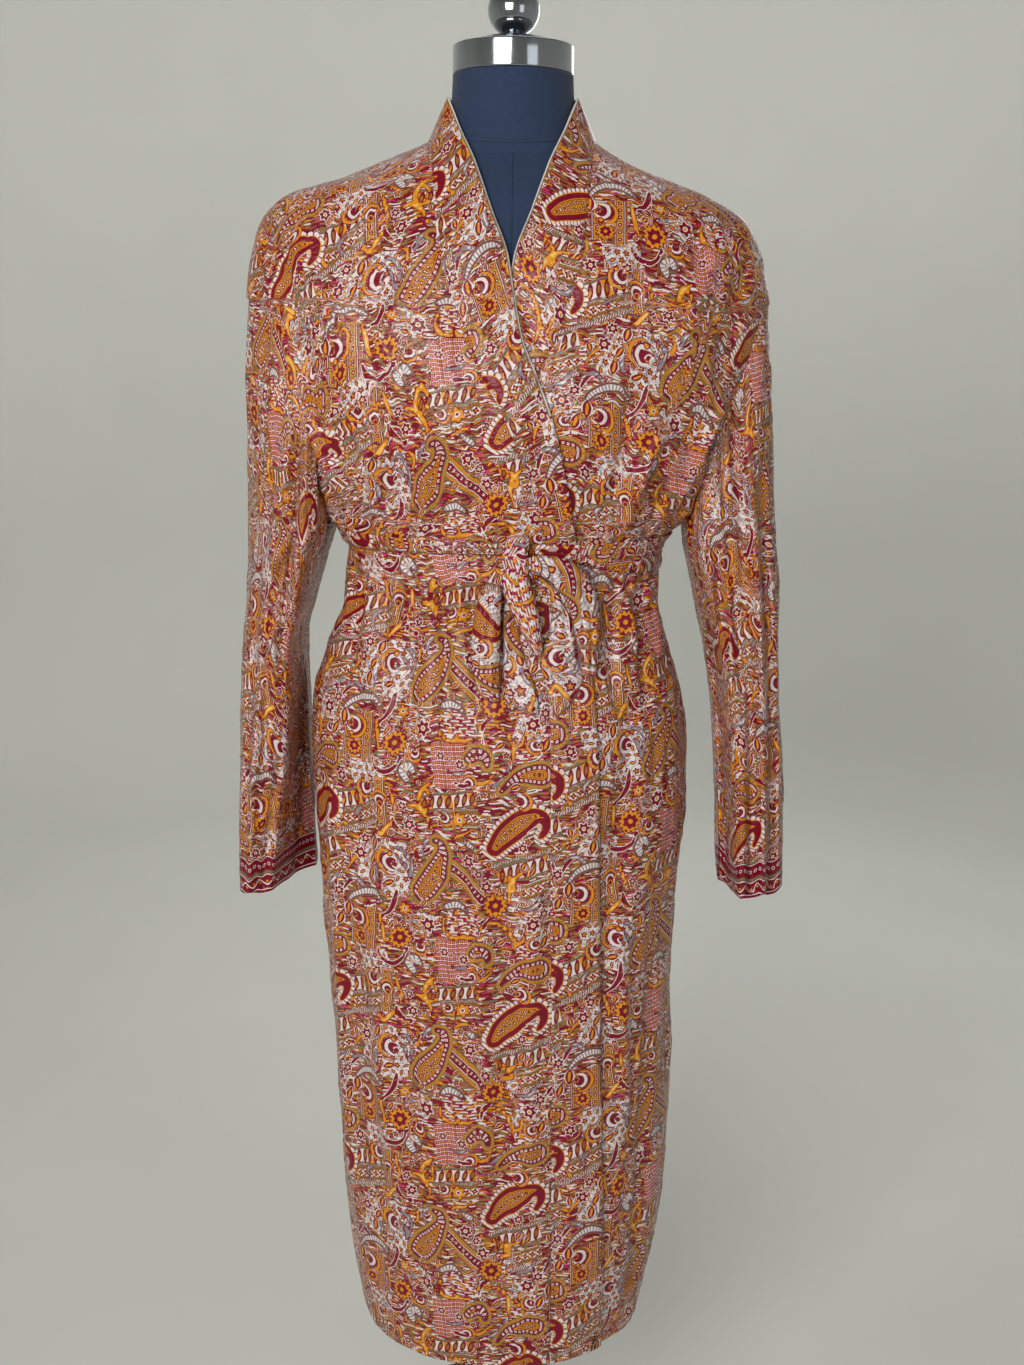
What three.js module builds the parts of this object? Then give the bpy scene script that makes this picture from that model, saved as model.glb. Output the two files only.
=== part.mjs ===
// A printed satin kimono robe, tied with its own narrow belt, on a limbless dress form with a stand.
// Millimetres, +Z up. The front faces -Y and the stand's foot is on z = 0.
// Every cloth piece is a thin closed wall on one shared body surface, so that neighbours meet at their seams.
import * as THREE from "three";

// Driving sizes
const CLOTH = 1.5; // thickness of one layer of cloth
const BELT_CLOTH = 1.8; // the belt is folded on itself
const SEAM_GAP = 0.3; // between pieces that are sewn or that rest on each other
const HEM_Z = 245;
const ARMPIT_Z = 1147;
const SHOULDER_POINT_Z = 1358;
const CUFF_Z = 752;
const ROUNDNESS = 2.2; // exponent of the level sections, 2 is an ellipse
const WRAP_DEPTH = 4.8; // how far the under front lies inside the upper one
const NECK_R = 58.5; // top of the form's neck, and its metal cap
const CAP_HEIGHT = 26;
const BALL_R = 25;
const POLE_R = 12.5;
const BASE_R = 175;
const BASE_HEIGHT = 14;
const FORM_BOTTOM_Z = 775;

const PRINT = new THREE.MeshStandardMaterial({ color: "#9c6a3c", roughness: 0.45, metalness: 0 });
const PRINT_DARK = new THREE.MeshStandardMaterial({ color: "#7d2b34", roughness: 0.45, metalness: 0 });
const JERSEY = new THREE.MeshStandardMaterial({ color: "#16171c", roughness: 0.9, metalness: 0 });
const CHROME = new THREE.MeshStandardMaterial({ color: "#c9cbcc", roughness: 0.15, metalness: 1 });
const STEEL = new THREE.MeshStandardMaterial({ color: "#8d9194", roughness: 0.3, metalness: 1 });
const IRON = new THREE.MeshStandardMaterial({ color: "#1c1d1f", roughness: 0.5, metalness: 0.6 });

// The robe's body by height: how far its level section reaches to each side, forward and back.
const BODY = [
  { z: 245, left: 160, right: 160, front: 150, back: 140 },
  { z: 330, left: 173, right: 175, front: 150, back: 142 },
  { z: 430, left: 181, right: 185, front: 147, back: 142 },
  { z: 530, left: 185, right: 185, front: 145, back: 142 },
  { z: 640, left: 190, right: 182, front: 143, back: 141 },
  { z: 740, left: 199, right: 185, front: 142, back: 140 },
  { z: 833, left: 204, right: 191, front: 142, back: 140 },
  { z: 900, left: 207, right: 190, front: 141, back: 138 },
  { z: 955, left: 205, right: 184, front: 135, back: 131 },
  { z: 1005, left: 189, right: 169, front: 124, back: 119 },
  { z: 1060, left: 170, right: 154, front: 113, back: 106 },
  { z: 1112, left: 165, right: 154, front: 110, back: 102 },
  { z: 1147, left: 181, right: 181, front: 117, back: 108 },
  { z: 1186, left: 199, right: 200, front: 125, back: 116 },
  { z: 1252, left: 226, right: 230, front: 133, back: 124 },
  { z: 1296, left: 243, right: 245, front: 131, back: 126 },
  { z: 1358, left: 262, right: 257, front: 117, back: 120 },
  { z: 1390, left: 259, right: 251, front: 108, back: 113 },
  { z: 1410, left: 255, right: 245, front: 101, back: 107 },
  { z: 1437, left: 244, right: 229, front: 89, back: 94 },
  { z: 1458, left: 219, right: 196, front: 79, back: 83 },
  { z: 1472, left: 171, right: 158, front: 71, back: 75 },
  { z: 1483, left: 142, right: 127, front: 65, back: 70 },
  { z: 1496, left: 110, right: 101, front: 57, back: 66 },
  { z: 1503, left: 92, right: 89, front: 53, back: 64 },
  { z: 1507, left: 84, right: 84, front: 50, back: 62 },
];

// The armhole seam by height, as its distance from the middle on each side.
const ARMHOLE = [
  { z: 1147, left: 181, right: 181 },
  { z: 1165, left: 181, right: 182 },
  { z: 1186, left: 182, right: 185 },
  { z: 1220, left: 186, right: 198 },
  { z: 1252, left: 195, right: 213 },
  { z: 1296, left: 214, right: 229 },
  { z: 1339, left: 234, right: 243 },
  { z: 1352, left: 250, right: 251 },
  { z: 1358, left: 262, right: 257 },
];

// The neckband of the upper front: its seam, its free edge, and how much higher the edge lies than the seam.
const BAND = [
  { z: 245, seam: 55, edge: 111, lead: 0 },
  { z: 337, seam: 54, edge: 110, lead: 0 },
  { z: 557, seam: 51, edge: 103, lead: 0 },
  { z: 774, seam: 46, edge: 96, lead: 0 },
  { z: 940, seam: 44, edge: 90, lead: 0 },
  { z: 1038, seam: 42, edge: 80, lead: 1 },
  { z: 1112, seam: 37, edge: 69, lead: 2 },
  { z: 1144, seam: 31, edge: 63, lead: 5 },
  { z: 1184, seam: 21, edge: 54, lead: 10 },
  { z: 1228, seam: 5, edge: 41, lead: 18 },
  { z: 1264, seam: -12, edge: 25, lead: 26 },
  { z: 1290, seam: -28, edge: 12, lead: 32 },
  { z: 1330, seam: -45, edge: 3, lead: 36 },
  { z: 1363, seam: -57, edge: -3, lead: 37 },
  { z: 1407, seam: -68, edge: -18, lead: 33 },
  { z: 1462, seam: -74, edge: -34, lead: 22 },
  { z: 1487, seam: -77, edge: -48, lead: 27 },
  { z: 1496, seam: -78, edge: -54, lead: 32 },
  { z: 1503, seam: -79, edge: -59, lead: 37 },
  { z: 1507, seam: -80, edge: -63, lead: 42 },
];

// Above the crossing the band leaves the body surface: how far forward its free edge stands there.
const BAND_STAND = [
  { z: 1363, forward: 104 },
  { z: 1407, forward: 89 },
  { z: 1462, forward: 69 },
  { z: 1487, forward: 46 },
  { z: 1496, forward: 34 },
  { z: 1503, forward: 22 },
  { z: 1507, forward: 10 },
];
const COLLAR_TOP = { z: 1551, half: 64, back: 60 }; // the band's free edge round the back of the neck

// Each sleeve by height: its outer and inner side as distances from the middle, and its half depth.
const SLEEVES = {
  left: [
    { z: 752, outer: 284, inner: 211, depth: 80 },
    { z: 832, outer: 282, inner: 212, depth: 84 },
    { z: 943, outer: 281, inner: 214, depth: 87 },
    { z: 1009, outer: 278, inner: 216, depth: 88 },
    { z: 1052, outer: 275, inner: 206, depth: 88 },
    { z: 1095, outer: 272, inner: 194, depth: 87 },
    { z: 1147, outer: 270, inner: 181, depth: 85 },
    { z: 1258, outer: 270, inner: 190, depth: 80 },
    { z: 1358, outer: 264, inner: 212, depth: 72 },
  ],
  right: [
    { z: 752, outer: 300, inner: 232, depth: 80 },
    { z: 850, outer: 298, inner: 226, depth: 84 },
    { z: 950, outer: 288, inner: 218, depth: 87 },
    { z: 1003, outer: 285, inner: 209, depth: 88 },
    { z: 1078, outer: 281, inner: 192, depth: 88 },
    { z: 1120, outer: 276, inner: 183, depth: 87 },
    { z: 1147, outer: 274, inner: 181, depth: 85 },
    { z: 1234, outer: 268, inner: 190, depth: 81 },
    { z: 1313, outer: 262, inner: 204, depth: 76 },
    { z: 1358, outer: 258, inner: 212, depth: 72 },
  ],
};

// Large folds of the body: a trough or ridge along a line on the front (-1) or back (+1).
const BODY_FOLDS = [
  { side: -1, x0: -150, z0: 1075, x1: -128, z1: 300, depth: -4, width: 13 },
  { side: -1, x0: -104, z0: 1090, x1: -78, z1: 560, depth: -3.5, width: 16 },
  { side: -1, x0: -62, z0: 1095, x1: -30, z1: 420, depth: -3, width: 13 },
  { side: -1, x0: 8, z0: 1088, x1: 8, z1: 700, depth: -3, width: 11 },
  { side: -1, x0: 128, z0: 1000, x1: 104, z1: 640, depth: -5, width: 12 },
  { side: -1, x0: 134, z0: 640, x1: 142, z1: 262, depth: -4, width: 14 },
  { side: -1, x0: -118, z0: 1140, x1: -92, z1: 1290, depth: -4, width: 12 },
  { side: -1, x0: -60, z0: 1142, x1: -48, z1: 1240, depth: -3, width: 10 },
  { side: -1, x0: 96, z0: 1140, x1: 120, z1: 1300, depth: -4, width: 12 },
  { side: 1, x0: -122, z0: 1085, x1: -140, z1: 420, depth: -4, width: 14 },
  { side: 1, x0: -66, z0: 1090, x1: -58, z1: 300, depth: -5, width: 15 },
  { side: 1, x0: -8, z0: 1090, x1: 4, z1: 520, depth: -4, width: 14 },
  { side: 1, x0: 52, z0: 1092, x1: 70, z1: 280, depth: -5, width: 15 },
  { side: 1, x0: 116, z0: 1085, x1: 128, z1: 480, depth: -4, width: 14 },
  { side: 1, x0: -84, z0: 1140, x1: -108, z1: 1330, depth: -4, width: 14 },
  { side: 1, x0: 78, z0: 1140, x1: 104, z1: 1320, depth: -4, width: 14 },
];

// Large folds of the sleeves: a trough down a line, by its distance from the middle at its top and bottom.
const SLEEVE_FOLDS = {
  left: [
    { side: -1, x0: 212, z0: 1010, x1: 246, z1: 752, depth: 20, width: 13 },
    { side: -1, x0: 226, z0: 1270, x1: 240, z1: 1010, depth: 6, width: 11 },
    { side: 1, x0: 232, z0: 1240, x1: 246, z1: 752, depth: 9, width: 13 },
  ],
  right: [
    { side: -1, x0: 238, z0: 1300, x1: 262, z1: 752, depth: 8, width: 11 },
    { side: -1, x0: 218, z0: 1120, x1: 240, z1: 800, depth: 7, width: 9 },
    { side: 1, x0: 236, z0: 1250, x1: 258, z1: 752, depth: 10, width: 13 },
  ],
};

// The belt's upper and lower edge by angle round the body, from the right side over the back.
const BELT = [
  { turn: 0, top: 1130, bottom: 1093 },
  { turn: 90, top: 1131, bottom: 1098 },
  { turn: 180, top: 1134, bottom: 1117 },
  { turn: 240, top: 1132, bottom: 1119 },
  { turn: 268, top: 1130, bottom: 1120 },
  { turn: 276, top: 1130, bottom: 1118 },
  { turn: 295, top: 1129, bottom: 1110 },
  { turn: 315, top: 1130, bottom: 1098 },
  { turn: 360, top: 1130, bottom: 1093 },
];

// The bow: each ribbon by its middle line, lift off the cloth, half width and the turn of its width in degrees.
const BOW = {
  bow_loop_left: [
    { x: -7, z: 1108, lift: 12, half: 7, turn: 20 },
    { x: -14, z: 1092, lift: 12, half: 9, turn: 12 },
    { x: -18, z: 1062, lift: 11, half: 12, turn: 4 },
    { x: -18, z: 1028, lift: 10, half: 13, turn: 0 },
    { x: -17, z: 999, lift: 9.5, half: 12, turn: -6 },
    { x: -15, z: 984, lift: 8.6, half: 10, turn: -14 },
    { x: -14, z: 980, lift: 6, half: 9, turn: -14 },
    { x: -15, z: 984, lift: 3.6, half: 10, turn: -12 },
    { x: -17, z: 1004, lift: 3, half: 11, turn: -4 },
    { x: -17, z: 1040, lift: 3, half: 10.5, turn: 0 },
    { x: -14, z: 1086, lift: 3.2, half: 8, turn: 8 },
  ],
  bow_loop_middle: [
    { x: 9, z: 1098.2, lift: 11.5, half: 6, turn: 0 },
    { x: 9, z: 1092, lift: 17, half: 9, turn: -8 },
    { x: 13, z: 1076, lift: 21, half: 13, turn: -22 },
    { x: 22, z: 1055, lift: 19.5, half: 16, turn: -28 },
    { x: 29, z: 1036, lift: 17, half: 14, turn: -34 },
    { x: 33, z: 1024, lift: 14.5, half: 10, turn: -40 },
    { x: 34, z: 1021, lift: 12, half: 9, turn: -40 },
    { x: 32, z: 1026, lift: 9.2, half: 10, turn: -38 },
    { x: 25, z: 1048, lift: 8.6, half: 12, turn: -30 },
    { x: 15, z: 1074, lift: 8.6, half: 10, turn: -22 },
    { x: 11, z: 1090, lift: 8.6, half: 7, turn: -10 },
  ],
  bow_wing_right: [
    { x: 20.5, z: 1112, lift: 11, half: 6.5, turn: 90 },
    { x: 28, z: 1111, lift: 13, half: 9, turn: 94 },
    { x: 38, z: 1108, lift: 16, half: 12, turn: 92 },
    { x: 54, z: 1101, lift: 19, half: 16, turn: 76 },
    { x: 68, z: 1086, lift: 18.5, half: 16, turn: 50 },
    { x: 76, z: 1063, lift: 16.5, half: 14, turn: 22 },
    { x: 79, z: 1038, lift: 14.5, half: 11, turn: 6 },
    { x: 80, z: 1014, lift: 13, half: 8, turn: -6 },
    { x: 80, z: 1005, lift: 11, half: 7, turn: -10 },
    { x: 79, z: 1009, lift: 8.8, half: 7, turn: -8 },
    { x: 77, z: 1034, lift: 8.2, half: 9, turn: 6 },
    { x: 72, z: 1062, lift: 8.4, half: 11, turn: 24 },
    { x: 60, z: 1084, lift: 9, half: 12, turn: 52 },
    { x: 47, z: 1097, lift: 9, half: 9, turn: 76 },
    { x: 32, z: 1105, lift: 7.6, half: 5, turn: 92 },
  ],
  belt_tail_left: [
    { x: 5, z: 1098.3, lift: 8, half: 5, turn: 0 },
    { x: 4, z: 1089, lift: 4, half: 5, turn: 0 },
    { x: 3, z: 1060, lift: 2.8, half: 7, turn: 0 },
    { x: 4, z: 1038, lift: 2.8, half: 8.5, turn: 0 },
    { x: 8, z: 1010, lift: 2.8, half: 12, turn: -2 },
    { x: 14, z: 986, lift: 3, half: 16, turn: -4 },
    { x: 17, z: 967, lift: 3.4, half: 18, turn: -6 },
  ],
  belt_tail_right: [
    { x: 20.8, z: 1101.6, lift: 9.8, half: 2.6, turn: 90 },
    { x: 27, z: 1099, lift: 6.4, half: 4, turn: 70 },
    { x: 36, z: 1093, lift: 4, half: 5, turn: 45 },
    { x: 46, z: 1083, lift: 3.2, half: 6.5, turn: 10 },
    { x: 53, z: 1062, lift: 2.8, half: 9, turn: -8 },
    { x: 54, z: 1042, lift: 2.8, half: 14, turn: -6 },
    { x: 52, z: 1018, lift: 2.8, half: 21, turn: -4 },
    { x: 56, z: 996, lift: 2.8, half: 18, turn: 0 },
    { x: 53, z: 980, lift: 3, half: 13, turn: 2 },
    { x: 48, z: 966, lift: 3.4, half: 6, turn: 2 },
  ],
};

// The dress form by height: how far it stays inside the robe's surface, and its widest half width.
const FORM = [
  { z: 775, inset: 12, widest: 172 },
  { z: 810, inset: 9, widest: 181 },
  { z: 900, inset: 8, widest: 184 },
  { z: 955, inset: 8, widest: 178 },
  { z: 1005, inset: 8, widest: 164 },
  { z: 1060, inset: 9, widest: 146 },
  { z: 1112, inset: 9, widest: 145 },
  { z: 1147, inset: 9, widest: 156 },
  { z: 1200, inset: 9, widest: 170 },
  { z: 1252, inset: 9, widest: 184 },
  { z: 1296, inset: 9, widest: 194 },
  { z: 1340, inset: 9, widest: 202 },
  { z: 1385, inset: 9, widest: 207 },
  { z: 1405, inset: 8.6, widest: 208 },
  { z: 1425, inset: 6.4, widest: 206 },
  { z: 1445, inset: 3, widest: 202 },
  { z: 1458, inset: 2.2, widest: 195 },
  { z: 1472, inset: 2.3, widest: 170 },
  { z: 1484, inset: 2.3, widest: 150 },
  { z: 1496, inset: 2.2, widest: 110 },
];
const FORM_NECK = [
  { z: 1503, half: 76, front: 56, back: 57 },
  { z: 1511, half: 68, front: 54, back: 55 },
  { z: 1522, half: 63, front: 53, back: 54 },
  { z: 1540, half: 60, front: 54, back: 54 },
  { z: 1570, half: 58.5, front: 57, back: 57 },
];

// How finely the cloth is divided.
const ROWS_BELOW = [245, 300, 370, 450, 540, 640, 740, 833, 900, 955, 1005, 1045, 1080, 1096, 1112, 1124, 1136, 1147];
const ROWS_ABOVE = [1358, 1386, 1410, 1430, 1445, 1458, 1472, 1484, 1496, 1507];
const ARMHOLE_STEPS = 12;
const FRONT_COLUMNS = 10;
const BACK_COLUMNS = 16;
const BAND_COLUMNS = 2;
const SLEEVE_ROWS = 12;
const BELT_COLUMNS = 44;
const RIBBON_COLUMNS = 4;
const FORM_COLUMNS = 28;

// A smooth curve through one column of a table, held level beyond its ends.
function curve(table, at, of) {
  const t = table.map((row) => row[at]);
  const v = table.map((row) => row[of]);
  const rise = (i) => (v[i + 1] - v[i]) / (t[i + 1] - t[i]);
  const slope = v.map((_, i) => {
    if (i === 0) return rise(0);
    if (i === v.length - 1) return rise(i - 1);
    const a = rise(i - 1);
    const b = rise(i);
    return a * b <= 0 ? 0 : (2 * a * b) / (a + b);
  });
  return (q) => {
    if (q <= t[0]) return v[0];
    if (q >= t[t.length - 1]) return v[v.length - 1];
    const i = t.findIndex((start, k) => q >= start && q <= t[k + 1]);
    const span = t[i + 1] - t[i];
    const s = (q - t[i]) / span;
    const near = (1 + 2 * s) * (1 - s) ** 2 * v[i] + s * (1 - s) ** 2 * span * slope[i];
    return near + s * s * (3 - 2 * s) * v[i + 1] + s * s * (s - 1) * span * slope[i + 1];
  };
}

const reach = {
  left: curve(BODY, "z", "left"),
  right: curve(BODY, "z", "right"),
  front: curve(BODY, "z", "front"),
  back: curve(BODY, "z", "back"),
};
const armhole = { left: curve(ARMHOLE, "z", "left"), right: curve(ARMHOLE, "z", "right") };
const bandSeam = curve(BAND, "z", "seam");
const bandEdge = curve(BAND, "z", "edge");
const bandLead = curve(BAND, "z", "lead");
const bandStand = curve(BAND_STAND, "z", "forward");

const smooth = (a, b, x) => {
  const s = Math.min(1, Math.max(0, (x - a) / (b - a)));
  return s * s * (3 - 2 * s);
};
const power = (c) => Math.sign(c) * Math.abs(c) ** (2 / ROUNDNESS);

// The sum of a list of folds at a place, each fading at the two ends of its line.
function foldDepth(folds, side, x, z) {
  let sum = 0;
  for (const f of folds) {
    if (f.side !== side) continue;
    const along = (z - f.z0) / (f.z1 - f.z0);
    if (along <= 0 || along >= 1) continue;
    const off = (x - (f.x0 + (f.x1 - f.x0) * along)) / f.width;
    const open = f.z1 <= HEM_Z + 60 || f.z1 <= CUFF_Z;
    const fade = smooth(0, 0.12, along) * (open ? 1 : smooth(0, 0.3, 1 - along));
    sum += f.depth * fade * Math.exp(-off * off);
  }
  return sum;
}

// A point of the robe's body surface: angle 0 is its right side, 90 degrees the back, 180 its left, 270 the front.
function bodyPoint(angle, z, inset = 0) {
  const c = Math.cos(angle);
  const s = Math.sin(angle);
  const a = (c < 0 ? reach.left(z) : reach.right(z)) - inset;
  const b = (s < 0 ? reach.front(z) : reach.back(z)) - inset;
  const x = a * power(c);
  const y = b * power(s);
  const fold = foldDepth(BODY_FOLDS, s < 0 ? -1 : 1, x, z) * Math.min(1, Math.abs(s) * 2);
  return new THREE.Vector3(x, y + Math.sign(s) * fold, z);
}

// The angle of the front or back surface at a distance x from the middle.
function angleAt(x, z, front) {
  const a = x < 0 ? reach.left(z) : reach.right(z);
  const c = Math.sign(x) * Math.min(1, Math.abs(x) / a) ** (ROUNDNESS / 2);
  return front ? 2 * Math.PI - Math.acos(c) : Math.acos(c);
}

const onFront = (x, z, lift = 0) => {
  const p = bodyPoint(angleAt(x, z, true), z);
  p.y -= lift;
  return p;
};

// Where a panel ends at the side: on the silhouette, or on the armhole seam between armpit and shoulder.
function sideAngle(side, z, front) {
  const still = side === "left" ? Math.PI : front ? 2 * Math.PI : 0;
  if (z <= ARMPIT_Z || z >= SHOULDER_POINT_Z) return still;
  return angleAt((side === "left" ? -1 : 1) * armhole[side](z), z, front);
}

const armholeRows = Array.from(
  { length: ARMHOLE_STEPS - 1 },
  (_, i) => ARMPIT_Z + ((i + 1) * (SHOULDER_POINT_Z - ARMPIT_Z)) / ARMHOLE_STEPS,
);
const ROWS = [...ROWS_BELOW, ...armholeRows, ...ROWS_ABOVE];

// The free edge of the upper front's band at its own height, for the under front to pass beneath.
const edgeByHeight = curve(
  BAND.map((row) => ({ z: row.z + row.lead, edge: row.edge })),
  "z",
  "edge",
);

// The under front is set inside the upper one as far as that reaches, and comes out to the shared surface beyond.
function tuck(p) {
  const depth = WRAP_DEPTH * (1 - smooth(4, 36, p.x - edgeByHeight(p.z)));
  const inward = new THREE.Vector3(p.x * 0.35, p.y, 0).normalize();
  return p.addScaledVector(inward, -depth);
}

const between = (a, b, t) => a + (b - a) * t;

// One front panel: its columns run from left to right in the picture.
function frontPanel(side) {
  return ROWS.map((z) => {
    const seam = side === "left" ? angleAt(bandSeam(z), z, true) : angleAt(-bandSeam(z), z, true);
    const rim = sideAngle(side, z, true);
    const [a, b] = side === "left" ? [rim, seam] : [seam, rim];
    return Array.from({ length: FRONT_COLUMNS + 1 }, (_, j) => {
      const p = bodyPoint(between(a, b, j / FRONT_COLUMNS), z);
      return side === "left" ? p : tuck(p);
    });
  });
}

function backPanel() {
  return ROWS.map((z) => {
    const a = sideAngle("right", z, false);
    const b = sideAngle("left", z, false);
    const step = (j) => between(a, b, j / BACK_COLUMNS);
    return Array.from({ length: BACK_COLUMNS + 1 }, (_, j) => bodyPoint(step(j), z));
  });
}

// The neckband of one front, up from the hem, round the neck, to the seam at the centre of the back.
function neckband(side, backTop) {
  const way = side === "left" ? 1 : -1;
  const rows = ROWS.map((z) => {
    const edgeZ = z + bandLead(z);
    const seam = bodyPoint(angleAt(way * bandSeam(z), z, true), z);
    let edge;
    if (z <= BAND_STAND[0].z) edge = onFront(way * bandEdge(z), edgeZ);
    else edge = new THREE.Vector3(way * bandEdge(z), -bandStand(z), edgeZ);
    return Array.from({ length: BAND_COLUMNS + 1 }, (_, j) => {
      const t = j / BAND_COLUMNS;
      const p = seam.clone().lerp(edge, t);
      if (z <= BAND_STAND[0].z) p.y = onFront(p.x, p.z).y;
      else p.y -= 3 * Math.sin(Math.PI * t) * smooth(1500, 1380, z);
      return side === "left" ? p : tuck(p);
    });
  });
  const half = BACK_COLUMNS / 2;
  for (let k = 0; k <= half; k++) {
    const seam = backTop[side === "left" ? BACK_COLUMNS - k : k].clone();
    const angle = side === "left" ? Math.PI * (1 - k / BACK_COLUMNS) : (Math.PI * k) / BACK_COLUMNS;
    const { z, half: wide, back } = COLLAR_TOP;
    const edge = new THREE.Vector3(wide * power(Math.cos(angle)), back * power(Math.sin(angle)), z);
    rows.push(
      Array.from({ length: BAND_COLUMNS + 1 }, (_, j) => seam.clone().lerp(edge, j / BAND_COLUMNS)),
    );
  }
  return side === "left" ? rows : rows.map((row) => row.reverse());
}

// A sleeve: its first ring is the armhole loop, and each further ring turns level toward the cuff.
function sleeve(side) {
  const way = side === "left" ? -1 : 1;
  const outer = curve(SLEEVES[side], "z", "outer");
  const inner = curve(SLEEVES[side], "z", "inner");
  const depth = curve(SLEEVES[side], "z", "depth");
  const count = 2 * ARMHOLE_STEPS;
  const loop = Array.from({ length: count }, (_, k) => {
    const front = k <= ARMHOLE_STEPS;
    const step = front ? k : count - k;
    const z = ARMPIT_Z + (step * (SHOULDER_POINT_Z - ARMPIT_Z)) / ARMHOLE_STEPS;
    return bodyPoint(sideAngle(side, z, front), z);
  });
  const level = (z, k) => {
    const angle = (2 * Math.PI * k) / count;
    const far = (outer(z) + inner(z)) / 2 - ((outer(z) - inner(z)) / 2) * power(Math.cos(angle));
    const s = -power(Math.sin(angle));
    const fold = foldDepth(SLEEVE_FOLDS[side], Math.sign(s), far, z) * Math.min(1, Math.abs(s) * 1.5);
    return new THREE.Vector3(way * far, s * depth(z) - Math.sign(s) * fold, z);
  };
  return Array.from({ length: SLEEVE_ROWS + 1 }, (_, i) => {
    const s = i / SLEEVE_ROWS;
    const ring = loop.map((start, k) => {
      const p = level(between(start.z, CUFF_Z, s), k);
      return p.addScaledVector(start.clone().sub(level(start.z, k)), (1 - s) ** 2);
    });
    return side === "left" ? ring.reverse() : ring;
  }).reverse();
}

function beltRing() {
  const top = curve(BELT, "turn", "top");
  const bottom = curve(BELT, "turn", "bottom");
  return [0, 0.5, 1].map((t) =>
    Array.from({ length: BELT_COLUMNS }, (_, k) => {
      const turn = (360 * k) / BELT_COLUMNS;
      const angle = THREE.MathUtils.degToRad(turn);
      const p = bodyPoint(angle, between(bottom(turn), top(turn), t));
      const out = new THREE.Vector3(p.x * 0.6, p.y, 0).normalize();
      return p.addScaledVector(out, 1.3 + BELT_CLOTH + 0.8 * Math.sin(Math.PI * t));
    }),
  );
}

function ribbon(table) {
  return table.map(({ x, z, lift, half, turn }) => {
    const angle = THREE.MathUtils.degToRad(turn);
    return Array.from({ length: RIBBON_COLUMNS + 1 }, (_, j) => {
      const u = (2 * j) / RIBBON_COLUMNS - 1;
      return onFront(
        x + half * u * Math.cos(angle),
        z + half * u * Math.sin(angle),
        lift + 0.8 * (1 - u * u),
      );
    });
  });
}

// Corner normals of all cloth grids. Pieces that share a corner share its normal, so that seams are cut on
// one plane: first the flat neighbours of one group, then the group of each sleeve and the body evenly.
function sharedNormals(pieces) {
  const key = (p) => [p.x, p.y, p.z].map((n) => Math.round(n * 50)).join();
  const add = (sums, name, n) => sums.set(name, (sums.get(name) ?? new THREE.Vector3()).add(n));
  const groups = new Map();
  for (const { grid, closed, group = "body" } of pieces) {
    const own = new Map();
    const wide = grid[0].length;
    for (let i = 0; i + 1 < grid.length; i++) {
      for (let j = 0; j < (closed ? wide : wide - 1); j++) {
        const k = (j + 1) % wide;
        const [a, b, c, d] = [grid[i][j], grid[i][k], grid[i + 1][k], grid[i + 1][j]];
        const n = c.clone().sub(a).cross(d.clone().sub(b)).multiplyScalar(0.5);
        [a, b, c, d].forEach((p) => add(own, key(p), n));
      }
    }
    if (!groups.has(group)) groups.set(group, new Map());
    own.forEach((n, name) => add(groups.get(group), name, n.normalize()));
  }
  const shared = new Map();
  for (const sums of groups.values()) sums.forEach((n, name) => add(shared, name, n.normalize()));
  return (p) => shared.get(key(p)).clone().normalize();
}

// Pulls the named borders of a grid back by half a seam gap, square to the shared normal.
function trimmed(grid, borders, normalAt) {
  const out = grid.map((row) => row.map((p) => p.clone()));
  const last = grid.length - 1;
  const end = grid[0].length - 1;
  const pull = (i, j, from) => {
    const way = from.clone().sub(grid[i][j]).projectOnPlane(normalAt(grid[i][j]));
    if (way.length() > 1e-6) out[i][j].addScaledVector(way.normalize(), SEAM_GAP / 2);
  };
  grid.forEach((row, i) => {
    if (borders.includes("start")) pull(i, 0, row[1]);
    if (borders.includes("end")) pull(i, end, row[end - 1]);
  });
  grid[last].forEach((_, j) => {
    if (borders.includes("top")) pull(last, j, grid[last - 1][j]);
  });
  return out;
}

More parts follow.
